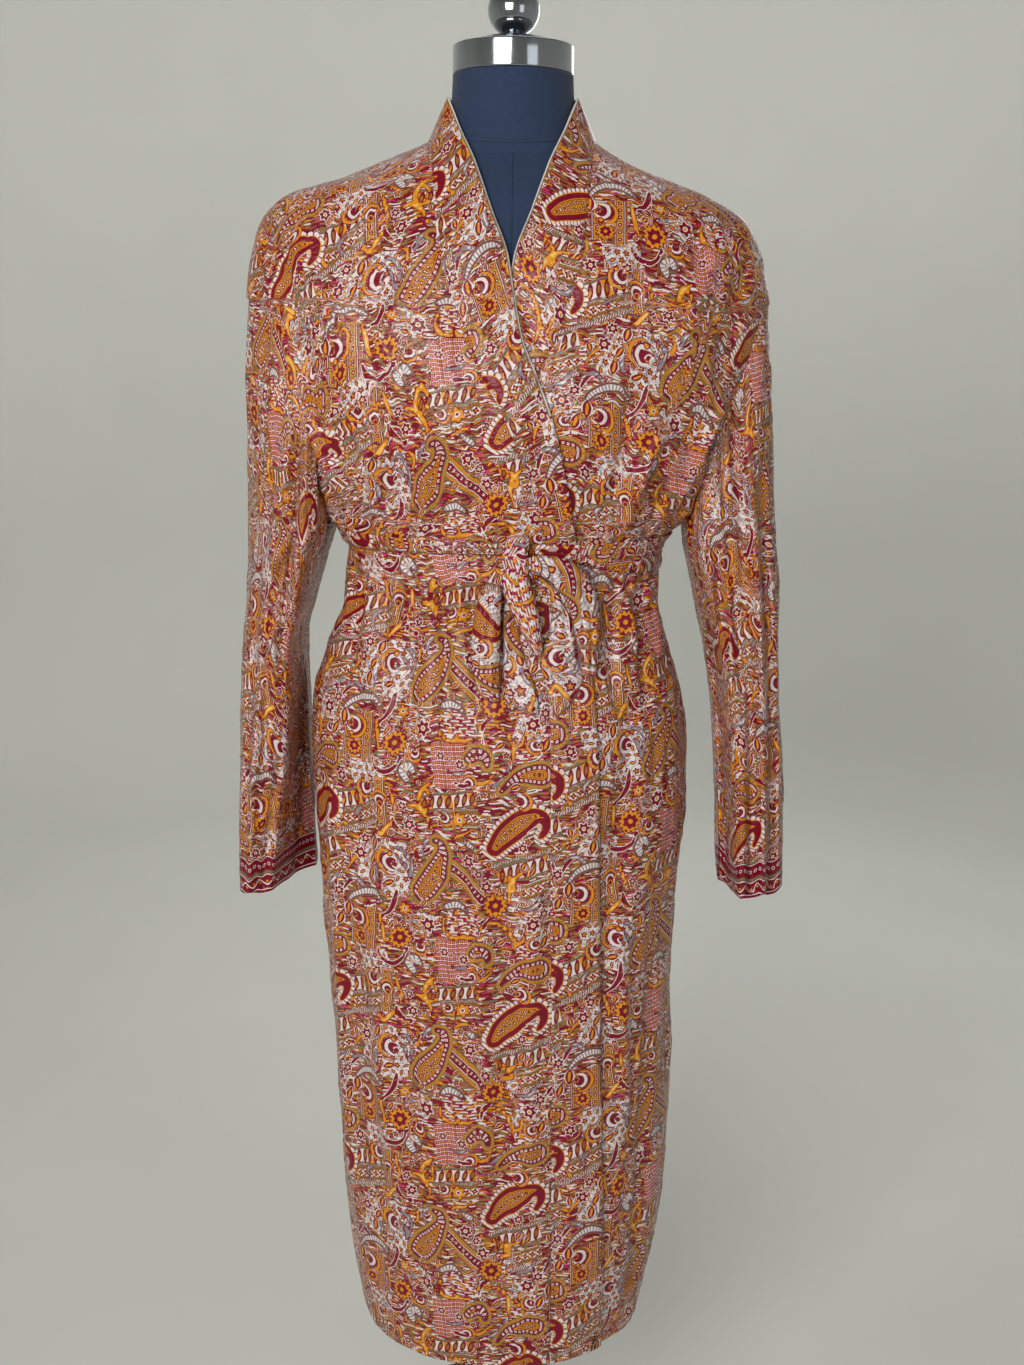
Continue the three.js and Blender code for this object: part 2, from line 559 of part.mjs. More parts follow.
// A closed wall: the grid is its outer face, or its middle, and the inner face lies one thickness inside.
function wall({ grid, closed, borders = [], thickness = CLOTH, middle }, normalAt) {
  const outer = trimmed(grid, borders, normalAt);
  if (middle) outer.forEach((row, i) => row.forEach((p, j) => p.addScaledVector(normalAt(grid[i][j]), thickness / 2)));
  const tall = grid.length;
  const wide = grid[0].length;
  const positions = [];
  outer.forEach((row) => row.forEach((p) => positions.push(p.x, p.y, p.z)));
  outer.forEach((row, i) =>
    row.forEach((p, j) => {
      const q = p.clone().addScaledVector(normalAt(grid[i][j]), -thickness);
      positions.push(q.x, q.y, q.z);
    }),
  );
  const at = (i, j, inside) => (inside ? tall * wide : 0) + i * wide + (j % wide);
  const faces = [];
  const quad = (a, b, c, d) => faces.push(a, b, c, a, c, d);
  const across = closed ? wide : wide - 1;
  for (let i = 0; i + 1 < tall; i++) {
    for (let j = 0; j < across; j++) {
      quad(at(i, j, false), at(i, j + 1, false), at(i + 1, j + 1, false), at(i + 1, j, false));
      quad(at(i, j, true), at(i + 1, j, true), at(i + 1, j + 1, true), at(i, j + 1, true));
    }
  }
  for (let j = 0; j < across; j++) {
    quad(at(0, j, true), at(0, j + 1, true), at(0, j + 1, false), at(0, j, false));
    quad(at(tall - 1, j, false), at(tall - 1, j + 1, false), at(tall - 1, j + 1, true), at(tall - 1, j, true));
  }
  for (let i = 0; !closed && i + 1 < tall; i++) {
    quad(at(i, 0, true), at(i, 0, false), at(i + 1, 0, false), at(i + 1, 0, true));
    quad(at(i, wide - 1, false), at(i, wide - 1, true), at(i + 1, wide - 1, true), at(i + 1, wide - 1, false));
  }
  const geometry = new THREE.BufferGeometry();
  geometry.setAttribute("position", new THREE.Float32BufferAttribute(positions, 3));
  geometry.setIndex(faces);
  geometry.computeVertexNormals();
  return geometry;
}

// A solid from a stack of level rings, closed flat at both ends.
function stack(rings) {
  const wide = rings[0].length;
  const positions = rings.flat().flatMap((p) => [p.x, p.y, p.z]);
  const faces = [];
  for (let i = 0; i + 1 < rings.length; i++) {
    for (let j = 0; j < wide; j++) {
      const k = (j + 1) % wide;
      const [a, b, c, d] = [i * wide + j, i * wide + k, (i + 1) * wide + k, (i + 1) * wide + j];
      faces.push(a, b, c, a, c, d);
    }
  }
  const top = (rings.length - 1) * wide;
  for (let j = 1; j + 1 < wide; j++) faces.push(0, j + 1, j, top, top + j, top + j + 1);
  const geometry = new THREE.BufferGeometry();
  geometry.setAttribute("position", new THREE.Float32BufferAttribute(positions, 3));
  geometry.setIndex(faces);
  geometry.computeVertexNormals();
  return geometry;
}

// A section of the dress form, kept inside the robe by its inset and even on both sides.
function formRings() {
  const count = FORM_COLUMNS;
  const angles = Array.from({ length: count }, (_, k) => (2 * Math.PI * k) / count);
  const widest = curve(FORM, "z", "widest");
  const surface = (angle, z) => {
    const half = Math.min(reach.left(z), reach.right(z), widest(z) + 5);
    const s = Math.sin(angle);
    const deep = s < 0 ? reach.front(z) : reach.back(z);
    return new THREE.Vector3(half * power(Math.cos(angle)), deep * power(s), z);
  };
  const torso = FORM.map(({ z, inset }, i) =>
    angles.map((angle) => {
      const round = surface(angle + 0.02, z).sub(surface(angle - 0.02, z));
      const upward = surface(angle, z + 1).sub(surface(angle, z - 1));
      const inward = upward.cross(round).normalize();
      if (i === 0) inward.setZ(0).normalize();
      return surface(angle, z).addScaledVector(inward, inset);
    }),
  );
  const neck = FORM_NECK.map(({ z, half, front, back }) =>
    angles.map((angle) => {
      const s = Math.sin(angle);
      return new THREE.Vector3(half * Math.cos(angle), (s < 0 ? front : back) * s, z);
    }),
  );
  return [...torso, ...neck];
}

// A turned piece from its outline of radius and height, upward from the axis.
function turned(outline, segments) {
  const profile = outline.map(([r, z]) => new THREE.Vector2(r, z));
  return new THREE.LatheGeometry(profile, segments).rotateX(Math.PI / 2);
}

const robe = new THREE.Group();
robe.name = "kimono_robe_on_dress_form";

function place(name, geometry, material) {
  const mesh = new THREE.Mesh(geometry, material);
  mesh.name = name;
  robe.add(mesh);
}

const back = backPanel();
const bowPieces = Object.entries(BOW).map(([name, table]) => ({
  name,
  grid: ribbon(table),
  middle: true,
  material: PRINT_DARK,
}));
const cloth = [
  { name: "back", grid: back, borders: ["start", "end", "top"], material: PRINT },
  { name: "front_right", grid: frontPanel("left"), borders: ["start", "end", "top"], material: PRINT },
  { name: "front_left", grid: frontPanel("right"), borders: ["start", "end", "top"], material: PRINT },
  { name: "neckband_right", grid: neckband("left", back.at(-1)), borders: ["start", "top"], material: PRINT_DARK },
  { name: "neckband_left", grid: neckband("right", back.at(-1)), borders: ["end", "top"], material: PRINT_DARK },
  { name: "sleeve_right", grid: sleeve("left"), group: "right arm", closed: true, borders: ["top"], material: PRINT },
  { name: "sleeve_left", grid: sleeve("right"), group: "left arm", closed: true, borders: ["top"], material: PRINT },
  { name: "belt", grid: beltRing(), closed: true, thickness: BELT_CLOTH, material: PRINT_DARK },
  ...bowPieces,
];
const normalAt = sharedNormals(cloth);
for (const piece of cloth) place(piece.name, wall(piece, normalAt), piece.material);

// The knot: a short wrap of the belt, wider at its ends, pressed on the belt.
const KNOT = [
  { z: 1099, x: 10, half: 8, lift: 9.6, deep: 4 },
  { z: 1104, x: 10, half: 10, lift: 10.2, deep: 6 },
  { z: 1112, x: 9, half: 9.5, lift: 10.6, deep: 6.6 },
  { z: 1120, x: 8, half: 9, lift: 10.8, deep: 6.8 },
  { z: 1130, x: 9, half: 9.5, lift: 10.6, deep: 6.6 },
  { z: 1138, x: 10, half: 10, lift: 10, deep: 6 },
  { z: 1143, x: 11, half: 8, lift: 8.6, deep: 4 },
];
const knotRings = KNOT.map(({ z, x, half, lift, deep }) => {
  const middle = onFront(x, z, lift);
  return Array.from({ length: 16 }, (_, k) => {
    const angle = (2 * Math.PI * k) / 16;
    return new THREE.Vector3(middle.x + half * power(Math.cos(angle)), middle.y + deep * power(Math.sin(angle)), z);
  });
});
place("belt_knot", stack(knotRings), PRINT_DARK);

place("form_torso", stack(formRings()), JERSEY);
const capBottom = FORM_NECK.at(-1).z + SEAM_GAP;
const capTop = capBottom + CAP_HEIGHT;
place(
  "neck_cap",
  turned([[0, capBottom], [NECK_R, capBottom], [NECK_R, capTop - 1.5], [NECK_R - 1.5, capTop], [0, capTop]], 36),
  CHROME,
);
const discBottom = capTop + SEAM_GAP;
const ballZ = discBottom + 10 + BALL_R * 0.9;
const ballArc = Array.from({ length: 10 }, (_, k) => {
  const angle = -1.12 + ((Math.PI / 2 + 1.12) * k) / 9;
  return [k === 9 ? 0 : BALL_R * Math.cos(angle), ballZ + BALL_R * Math.sin(angle)];
});
const discOutline = [[0, discBottom], [44, discBottom], [44, discBottom + 2], [34, discBottom + 6]];
place("ball_finial", turned([...discOutline, [14, discBottom + 9], ...ballArc], 28), CHROME);

const poleTop = FORM_BOTTOM_Z - SEAM_GAP;
place(
  "pole",
  turned([[0, BASE_HEIGHT + SEAM_GAP], [POLE_R, BASE_HEIGHT + SEAM_GAP], [POLE_R, poleTop], [0, poleTop]], 24),
  STEEL,
);
place(
  "stand_base",
  turned([[0, 0], [BASE_R, 0], [BASE_R, 4], [BASE_R - 4, 7], [40, BASE_HEIGHT], [0, BASE_HEIGHT]], 48),
  IRON,
);

export default robe;
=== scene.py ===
import math
import bmesh
import bpy
import numpy as np
from mathutils import Matrix, Vector


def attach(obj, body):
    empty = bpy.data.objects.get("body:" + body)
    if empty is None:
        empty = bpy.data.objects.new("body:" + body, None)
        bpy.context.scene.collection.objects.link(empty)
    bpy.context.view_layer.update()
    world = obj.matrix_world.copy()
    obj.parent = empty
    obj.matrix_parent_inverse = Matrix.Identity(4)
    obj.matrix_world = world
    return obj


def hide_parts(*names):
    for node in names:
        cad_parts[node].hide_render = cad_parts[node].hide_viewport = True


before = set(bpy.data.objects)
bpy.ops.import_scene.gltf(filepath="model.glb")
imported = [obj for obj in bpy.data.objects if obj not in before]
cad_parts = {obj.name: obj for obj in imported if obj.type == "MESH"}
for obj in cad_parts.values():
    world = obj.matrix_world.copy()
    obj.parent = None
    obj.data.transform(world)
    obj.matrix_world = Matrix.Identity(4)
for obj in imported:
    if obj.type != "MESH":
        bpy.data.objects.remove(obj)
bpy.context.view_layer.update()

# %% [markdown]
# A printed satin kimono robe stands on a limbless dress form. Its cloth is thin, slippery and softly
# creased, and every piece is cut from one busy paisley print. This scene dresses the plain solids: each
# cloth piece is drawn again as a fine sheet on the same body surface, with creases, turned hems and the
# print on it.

MM = 0.001

# %% [markdown]
# The camera comes first. The photograph looks slightly down at the robe from a standing height, a little
# more than a metre and a half away, so the shoulders look wide and the hem narrow. It is also turned by
# about half a degree. The lens follows from the size of the form's neck against the length of the robe.

# %% The camera
FOCAL_PX, TALL_PX = 1500.0, 1365.0
camera = bpy.data.objects.new("camera", bpy.data.cameras.new("camera"))
bpy.context.scene.collection.objects.link(camera)
camera.data.sensor_fit = "AUTO"
camera.data.sensor_width = 36.0
camera.data.lens = 36.0 * FOCAL_PX / TALL_PX
place = Matrix.Translation((0.005, -1.550, 1.335))
look = Matrix.Rotation(math.radians(90 - 13.4), 4, "X") @ Matrix.Rotation(math.radians(0.6), 4, "Z")
camera.matrix_world = place @ look
bpy.context.scene.camera = camera
print("lens", round(camera.data.lens, 2), "mm")

# %% [markdown]
# The robe's shape comes from short tables, the same as those of the solids, in millimetres. A smooth curve
# through a table gives the reach of the body to each side by height, and level sections between a circle
# and a square close it. Both are used for whole arrays of points at once, which keeps a fine mesh quick.

# %% Curves through tables
def table(names, rows):
    """A table of numbers with named columns."""
    return dict(zip(names.split(), np.array(rows, float).T))


def curve(knots, values):
    """A smooth curve through the values that doesn't overshoot, held level beyond its ends."""
    t, v = np.asarray(knots, float), np.asarray(values, float)
    rise = np.diff(v) / np.diff(t)
    a, b = rise[:-1], rise[1:]
    same = a * b > 0
    inner = np.where(same, 2 * a * b / np.where(same, a + b, 1), 0)
    slope = np.concatenate([[rise[0]], inner, [rise[-1]]])

    def at(q):
        q = np.clip(np.asarray(q, float), t[0], t[-1])
        i = np.clip(np.searchsorted(t, q, side="right") - 1, 0, len(t) - 2)
        span = t[i + 1] - t[i]
        s = (q - t[i]) / span
        near = (1 + 2 * s) * (1 - s) ** 2 * v[i] + s * (1 - s) ** 2 * span * slope[i]
        return near + s * s * (3 - 2 * s) * v[i + 1] + s * s * (s - 1) * span * slope[i + 1]

    return at


def smooth(a, b, x):
    """Rises softly from 0 at a to 1 at b, or falls where b is the smaller."""
    s = np.clip((x - a) / (b - a), 0, 1)
    return s * s * (3 - 2 * s)


def bell(far, width):
    """One in the middle, fading to nothing a few widths away."""
    return np.exp(-((far / width) ** 2))


def unit(v, least=0.0):
    """Vectors brought to length one; least keeps an empty one from dividing by nothing."""
    return v / (np.linalg.norm(v, axis=-1, keepdims=True) + least)


def running(steps, axis=0):
    """Running sums along an axis, starting at nothing."""
    first = np.zeros_like(np.take(steps, [0], axis))
    return np.concatenate([first, np.cumsum(steps, axis)], axis)


def lengths(grid, axis):
    """The distances between neighbouring points of a grid along an axis."""
    return np.linalg.norm(np.diff(grid, axis=axis), axis=-1)


ROUNDNESS = 2.2  # 2 would be an ellipse


def power(c):
    """Rounds a level section a little toward a square, as a filled garment is."""
    return np.sign(c) * np.abs(c) ** (2 / ROUNDNESS)


BODY = table("z left right front back", [
    [245, 160, 160, 150, 140], [330, 173, 175, 150, 142], [430, 181, 185, 147, 142],
    [530, 185, 185, 145, 142], [640, 190, 182, 143, 141], [740, 199, 185, 142, 140],
    [833, 204, 191, 142, 140], [900, 207, 190, 141, 138], [955, 205, 184, 135, 131],
    [1005, 189, 169, 124, 119], [1060, 170, 154, 113, 106], [1112, 165, 154, 110, 102],
    [1147, 181, 181, 117, 108], [1186, 199, 200, 125, 116], [1252, 226, 230, 133, 124],
    [1296, 243, 245, 131, 126], [1358, 262, 257, 117, 120], [1390, 259, 251, 108, 113],
    [1410, 255, 245, 101, 107], [1437, 244, 229, 89, 94], [1458, 219, 196, 79, 83],
    [1472, 171, 158, 71, 75], [1483, 142, 127, 65, 70], [1496, 110, 101, 57, 66], [1503, 92, 89, 53, 64],
    [1507, 84, 84, 50, 62],
])
ARMHOLE = table("z left right", [
    [1147, 181, 181], [1165, 181, 182], [1186, 182, 185], [1220, 186, 198], [1252, 195, 213],
    [1296, 214, 229], [1339, 234, 243], [1352, 250, 251], [1358, 262, 257],
])
BAND = table("z seam edge lead", [
    [245, 55, 111, 0], [337, 54, 110, 0], [557, 51, 103, 0], [774, 46, 96, 0], [940, 44, 90, 0],
    [1038, 42, 80, 1], [1112, 37, 69, 2], [1144, 31, 63, 5], [1184, 21, 54, 10], [1228, 5, 41, 18],
    [1264, -12, 25, 26], [1290, -28, 12, 32], [1330, -45, 3, 36], [1363, -57, -3, 37], [1407, -68, -18, 33],
    [1462, -74, -34, 22], [1487, -77, -48, 27], [1496, -78, -54, 32], [1503, -79, -59, 37],
    [1507, -80, -63, 42],
])
BAND_STAND = table("z forward", [
    [1363, 104], [1407, 89], [1462, 69], [1487, 46], [1496, 34], [1503, 22], [1507, 10],
])
reach = {side: curve(BODY["z"], BODY[side]) for side in ("left", "right", "front", "back")}
armhole = {side: curve(ARMHOLE["z"], ARMHOLE[side]) for side in ("left", "right")}
band_seam, band_edge, band_lead = (curve(BAND["z"], BAND[name]) for name in ("seam", "edge", "lead"))
band_stand = curve(BAND_STAND["z"], BAND_STAND["forward"])
HEM_Z, ARMPIT_Z, SHOULDER_Z, NECK_Z, CUFF_Z = 245.0, 1147.0, 1358.0, 1507.0, 752.0
WAIST_Z, LAP_TOP_Z, BAND_LEAVES_Z = 1114.0, 1262.0, 1363.0
COLLAR_TOP_Z, COLLAR_HALF, COLLAR_BACK = 1551.0, 64.0, 60.0
print("widest at", BODY["z"][BODY["left"].argmax()], "mm up")

# %% [markdown]
# Creases are what makes satin look like satin, because each one bends the highlight. The main ones are
# listed as soft troughs and ridges along a line, uneven in length and depth: gathers above and
# below the belt, long folds down the skirt, and pulls from the armholes. A smooth noise adds the small
# crumples of cloth that was folded and packed. A cloth simulation would do this too, but it wouldn't follow
# the photo.

# %% Creases listed one by one
# side (-1 front, 1 back), then x and z at the top of the line, x and z at its foot, depth and width
FOLDS = np.array([
    [-1, -150, 1075, -128, 300, -4, 13], [-1, -104, 1090, -78, 560, -3.5, 16],
    [-1, -62, 1095, -30, 420, -3, 13], [-1, 8, 1088, 8, 700, -3, 11], [-1, 128, 1000, 104, 640, -5, 12],
    [-1, 134, 640, 142, 262, -4, 14], [-1, -118, 1140, -92, 1290, -4, 12],
    [-1, -60, 1142, -48, 1240, -3, 10], [-1, 96, 1140, 120, 1300, -4, 12],
    [1, -122, 1085, -140, 420, -4, 14], [1, -66, 1090, -58, 300, -5, 15], [1, -8, 1090, 4, 520, -4, 14],
    [1, 52, 1092, 70, 280, -5, 15], [1, 116, 1085, 128, 480, -4, 14], [1, -84, 1140, -108, 1330, -4, 14],
    [1, 78, 1140, 104, 1320, -4, 14],
])
CREASES = np.array([
    # gathers that hang from the belt
    [-1, -146, 1094, -163, 985, -2.6, 5], [-1, -134, 1096, -142, 1010, 2.0, 4.5],
    [-1, -122, 1096, -124, 940, -2.4, 5], [-1, -108, 1098, -106, 1030, 1.8, 4],
    [-1, -92, 1098, -96, 900, -2.2, 5.5], [-1, -79, 1098, -74, 1020, 1.8, 4],
    [-1, -66, 1098, -58, 960, -2.0, 4.5], [-1, -49, 1099, -44, 1040, 1.6, 4],
    [-1, -35, 1100, -28, 930, -1.9, 5], [-1, 62, 1090, 66, 930, -1.8, 5], [-1, 82, 1088, 90, 1000, 1.6, 4],
    [-1, 98, 1086, 112, 950, -2.6, 5], [-1, 114, 1084, 128, 1010, 2.2, 4.5],
    [-1, 128, 1084, 146, 930, -2.6, 5.5], [-1, 141, 1084, 158, 1000, 1.8, 4],
    # long folds down the skirt
    [-1, -176, 900, -160, 330, 2.6, 7], [-1, -140, 780, -118, 420, 1.8, 8],
    [-1, -100, 700, -88, 250, -2.2, 9], [-1, -34, 880, -12, 520, 1.6, 7], [-1, -6, 620, 6, 250, -2.0, 9],
    [-1, 30, 820, 26, 380, 1.5, 8], [-1, 60, 560, 58, 250, -1.8, 8], [-1, 112, 800, 132, 480, 1.8, 7],
    [-1, 156, 700, 148, 300, -2.4, 7],
    # gathers and pulls above the belt
    [-1, -142, 1132, -156, 1190, -2.4, 4.5], [-1, -128, 1132, -134, 1230, 2.0, 4.5],
    [-1, -104, 1132, -96, 1210, -2.0, 5], [-1, -84, 1132, -70, 1262, 1.8, 5],
    [-1, -38, 1134, -30, 1200, -1.6, 4], [-1, -16, 1136, -12, 1190, 1.4, 4],
    [-1, 74, 1134, 84, 1230, -2.0, 5], [-1, 112, 1132, 132, 1220, 2.0, 5],
    [-1, 136, 1132, 160, 1200, -2.2, 5], [-1, -176, 1205, -116, 1250, -2.2, 6],
    [-1, -182, 1240, -130, 1262, 1.8, 6], [-1, 150, 1262, 186, 1205, -2.2, 6],
    [-1, -222, 1392, -180, 1250, -2.4, 8], [-1, -206, 1410, -150, 1300, 1.4, 8],
    [-1, -150, 1420, -120, 1330, -1.2, 8], [-1, 222, 1392, 196, 1262, -2.2, 8],
    [-1, 196, 1412, 160, 1310, 1.4, 8], [-1, 130, 1420, 104, 1330, -1.2, 8],
    [-1, -204, 1268, -152, 1150, 3.0, 6], [-1, -188, 1215, -170, 1118, 2.4, 5],
    [-1, -150, 1240, -100, 1160, 2.0, 6], [-1, 204, 1268, 158, 1150, 3.0, 6],
    [-1, 188, 1215, 172, 1118, 2.4, 5], [-1, 146, 1240, 110, 1160, 2.0, 6],
    # the back, much the same
    [1, -146, 1100, -158, 990, -2.4, 5], [1, -128, 1100, -132, 950, 2.0, 5],
    [1, -104, 1102, -100, 1010, -2.2, 5], [1, -88, 1102, -84, 920, 1.8, 5],
    [1, -44, 1102, -40, 1000, -2.2, 5], [1, -26, 1102, -22, 940, 1.8, 4.5], [1, 16, 1102, 18, 990, -2.0, 5],
    [1, 34, 1102, 36, 930, 1.8, 5], [1, 78, 1100, 84, 1000, -2.2, 5], [1, 96, 1100, 100, 950, 1.8, 5],
    [1, 136, 1098, 150, 980, -2.4, 5], [1, -150, 860, -136, 300, 2.2, 8], [1, -96, 760, -92, 250, -2.2, 9],
    [1, -30, 700, -28, 260, 2.0, 9], [1, 30, 640, 34, 250, -2.2, 9], [1, 98, 820, 104, 420, 2.0, 8],
    [1, 152, 760, 140, 300, -2.2, 8], [1, -130, 1134, -146, 1230, -2.2, 5],
    [1, -56, 1136, -52, 1240, 1.8, 5], [1, -20, 1136, -24, 1290, -2.2, 6], [1, 28, 1136, 30, 1260, 1.8, 5],
    [1, 110, 1134, 132, 1250, -2.2, 5], [1, -212, 1390, -176, 1260, -2.2, 8],
    [1, 210, 1390, 176, 1260, -2.2, 8], [1, -60, 1440, -70, 1350, -1.2, 9],
    [1, 56, 1440, 66, 1350, -1.2, 9],
])
print(len(FOLDS), "folds that the solids have too,", len(CREASES), "finer creases")

# %% How deep the creases are at a place
def fold_depth(folds, side, x, z):
    """The sum of folds at each point; a fold fades at both ends, unless it runs out at a hem."""
    total = np.zeros(np.broadcast(x, z).shape)
    for way, x0, z0, x1, z1, depth, width in folds:
        along = (z - z0) / (z1 - z0)
        off = (x - (x0 + (x1 - x0) * along)) / width
        near = (along > 0) & (along < 1) & (np.abs(off) < 3) & (side == way)
        on_sleeve = abs(x1) > 210
        ends_open = z1 <= HEM_Z + 60 or (z1 <= CUFF_Z and on_sleeve)
        fade = smooth(0, 0.12, along) * (1 if ends_open else smooth(0, 0.3, 1 - along))
        total += np.where(near, depth * fade * bell(off, 1), 0)
    return total


CELLS = 32
LATTICE = np.random.default_rng(11).uniform(-1, 1, (CELLS, CELLS, CELLS))


def noise(p, size):
    """Smooth random numbers between -1 and 1 in space, with lumps of the given size along each axis."""
    q = p / np.asarray(size, float)
    i = np.floor(q).astype(int)
    f = q - i
    f = f * f * (3 - 2 * f)
    total = 0
    for corner in np.ndindex(2, 2, 2):
        c = np.array(corner)
        k = (i + c) % CELLS
        total = total + np.prod(np.where(c, f, 1 - f), axis=-1) * LATTICE[k[..., 0], k[..., 1], k[..., 2]]
    return total


def crumples(p, calm):
    """Small soft dents with sharper ridges between them, longer than wide."""
    broad = noise(p, (26, 26, 70))
    ridged = 0.5 - np.abs(noise(p + 300, (15, 15, 42)))
    fine = 0.5 - np.abs(noise(p + 700, (8, 8, 17)))
    return (1.7 * broad + 1.9 * ridged + 0.9 * fine) * calm


def seam_valley(x, y, z):
    """How far a seam pulls the cloth in at a point: at the sides, the armholes and the neckband."""
    far = 99.0
    plain = (z < ARMPIT_Z) | (z > SHOULDER_Z)
    off_side = np.where(plain, y, far)
    off_arm = np.where(plain, far, np.abs(x) - np.where(x < 0, armhole["left"](z), armhole["right"](z)))
    off_band = np.where(y < 0, x - band_seam(z), far)
    off_under = np.where((y < 0) & (z > LAP_TOP_Z), x + band_seam(z), far)
    return sum(bell(off, 2.4) for off in (off_side, off_arm, off_band, off_under))


# %% The body surface
DEEPEST = 5.0  # mm that a crease may sink, so that the form under it stays covered


def creasing(p, x, y, z, s, side):
    """How far the finer creases raise or sink the cloth at each point."""
    calm = 1 - 0.75 * bell(z - WAIST_Z, 17)
    calm = calm * (1 - 0.72 * smooth(1390, 1450, z)) * (1 - 0.4 * smooth(60, 20, z - HEM_Z))
    by_belt = np.exp(-np.abs(z - 1085) / 60) + np.exp(-np.abs(z - 1135) / 40)
    pleats = 3.0 * noise(p, (7.5, 9, 150)) * by_belt * smooth(1440, 1330, z)
    fine = 3.3 * fold_depth(CREASES, side, x, z) * np.minimum(1, 3 * np.abs(s))
    swell = (fine + pleats) * calm + crumples(p, 1.3 * calm) - 0.9 * seam_valley(x, y, z)
    return np.where(swell < 0, DEEPEST * np.tanh(swell / DEEPEST), swell)


def body(angle, z, creased=True):
    """Points of the robe's body; angle 0 is its right side in the picture, a quarter turn on its back."""
    angle, z = np.broadcast_arrays(np.asarray(angle, float), np.asarray(z, float))
    c, s = np.cos(angle), np.sin(angle)
    a = np.where(c < 0, reach["left"](z), reach["right"](z))
    b = np.where(s < 0, reach["front"](z), reach["back"](z))
    x, y = a * power(c), b * power(s)
    side = np.where(s < 0, -1.0, 1.0)
    y = y + 1.5 * np.sign(s) * fold_depth(FOLDS, side, x, z) * np.minimum(1, 2 * np.abs(s))
    p = np.stack([x, y, z], -1)
    if not creased:
        return p
    slope = -(reach["left"](z + 2) - reach["left"](z - 2)) / 4
    out = unit(np.stack([x / a**2, y / b**2, np.zeros_like(x)], -1))
    out[..., 2] = np.clip(slope, -0.3, 3) * smooth(1380, 1450, z)
    return p + unit(out) * creasing(p, x, y, z, s, side)[..., None]


def angle_at(x, z, front):
    """The angle of the front or back surface at a distance x from the middle."""
    a = np.where(x < 0, reach["left"](z), reach["right"](z))
    c = np.sign(x) * np.minimum(1, np.abs(x) / a) ** 1.1
    return 2 * np.pi - np.arccos(c) if front else np.arccos(c)


def on_front(x, z, lift=0.0, creased=True):
    """Points in front of the body, a given distance before it."""
    p = body(angle_at(x, z, True), z, creased)
    p[..., 1] -= lift
    return p


def side_angle(side, z, front):
    """Where a panel ends: on the silhouette, or on the armhole seam between armpit and shoulder."""
    still = np.pi if side == "left" else (2 * np.pi if front else 0.0)
    seam = angle_at((-1 if side == "left" else 1) * armhole[side](z), z, front)
    return np.where((z <= ARMPIT_Z) | (z >= SHOULDER_Z), still, seam)


edge_by_height = curve(BAND["z"] + BAND["lead"], BAND["edge"])


def tuck(p):
    """Sets the under front inside the upper one as far as that reaches."""
    depth = 4.8 * (1 - smooth(4, 36, p[..., 0] - edge_by_height(p[..., 2])))
    outward = unit(np.stack([p[..., 0] * 0.35, p[..., 1], np.zeros_like(depth)], -1))
    return p - outward * depth[..., None]


print("front at the waist", on_front(0.0, WAIST_Z - 2).round(1))

# %% [markdown]
# Real panels meet at seams. Here each panel is a grid of points whose last column lies on the seam, so
# neighbours touch with no gap. The grid is spaced evenly along the cloth, about three millimetres, which
# also holds the print well.

# %% Rows and grids
STEP = 3.0


def even_rows(low, high):
    """Heights that are evenly spaced along the cloth, closer where it turns toward level."""
    z = np.linspace(low, high, 4000)
    steep = np.abs(np.gradient(reach["left"](z), z)) * 0.8
    along = running(np.hypot(1, (steep[1:] + steep[:-1]) / 2) * np.diff(z))
    count = max(2, int(round(along[-1] / STEP)))
    return np.interp(np.linspace(0, along[-1], count + 1), along, z)


spans = (HEM_Z, ARMPIT_Z), (ARMPIT_Z, SHOULDER_Z), (SHOULDER_Z, NECK_Z)
below, armholes, above = (even_rows(low, high) for low, high in spans)
ROWS = np.concatenate([below[:-1], armholes[:-1], above])


def across(start, end, count):
    """A grid of values from start to end of each row."""
    return start[:, None] + (end - start)[:, None] * np.linspace(0, 1, count + 1)


def measure(grid, u_start, row=0, v_of_row=0.0, flip=False):
    """The cloth's own flat coordinates in millimetres: across from u_start, up along each column."""
    u = running(lengths(grid, 1), 1)
    if flip:
        u = u - u[:, -1:]
    v = running(lengths(grid, 0), 0)
    return np.stack([u_start[:, None] + u, v - v[row] + v_of_row], -1)


LEVEL = 1000.0  # mm up, where all panels' flat coordinates start from the same height
ANCHOR = int(np.argmin(np.abs(ROWS - LEVEL)))
print(len(ROWS), "rows of cloth from hem to neck")

# %% [markdown]
# The two fronts and the back. The upper front lies on the left in the picture and its column of points ends
# at the band's seam; the under front is the same, mirrored, and goes inside. The back is one piece from hem
# to neck. All three take their edges from the same tables, so that they share the side and armhole seams.

# %% The grids of the panels
def front_panel(side):
    """A front from its side seam and armhole to the seam of its neckband."""
    seam_x = band_seam(ROWS) if side == "left" else -band_seam(ROWS)
    seam = angle_at(seam_x, ROWS, True)
    rim = side_angle(side, ROWS, True)
    columns = 90
    angles = across(rim, seam, columns) if side == "left" else across(seam, rim, columns)
    grid = body(angles, ROWS[:, None])
    if side == "right":
        grid = tuck(grid)
    return grid, measure(grid, seam_x, ANCHOR, LEVEL, flip=side == "left")


def back_panel():
    """The whole back, from one side seam to the other."""
    angles = across(side_angle("right", ROWS, False), side_angle("left", ROWS, False), 184)
    grid = body(angles, ROWS[:, None])
    return grid, measure(grid, -lengths(grid, 1).sum(axis=1) / 2, ANCHOR, LEVEL)


front_right_grid, front_right_uv = front_panel("left")
front_left_grid, front_left_uv = front_panel("right")
back_grid, back_uv = back_panel()
print("front", front_right_grid.shape, "back", back_grid.shape)


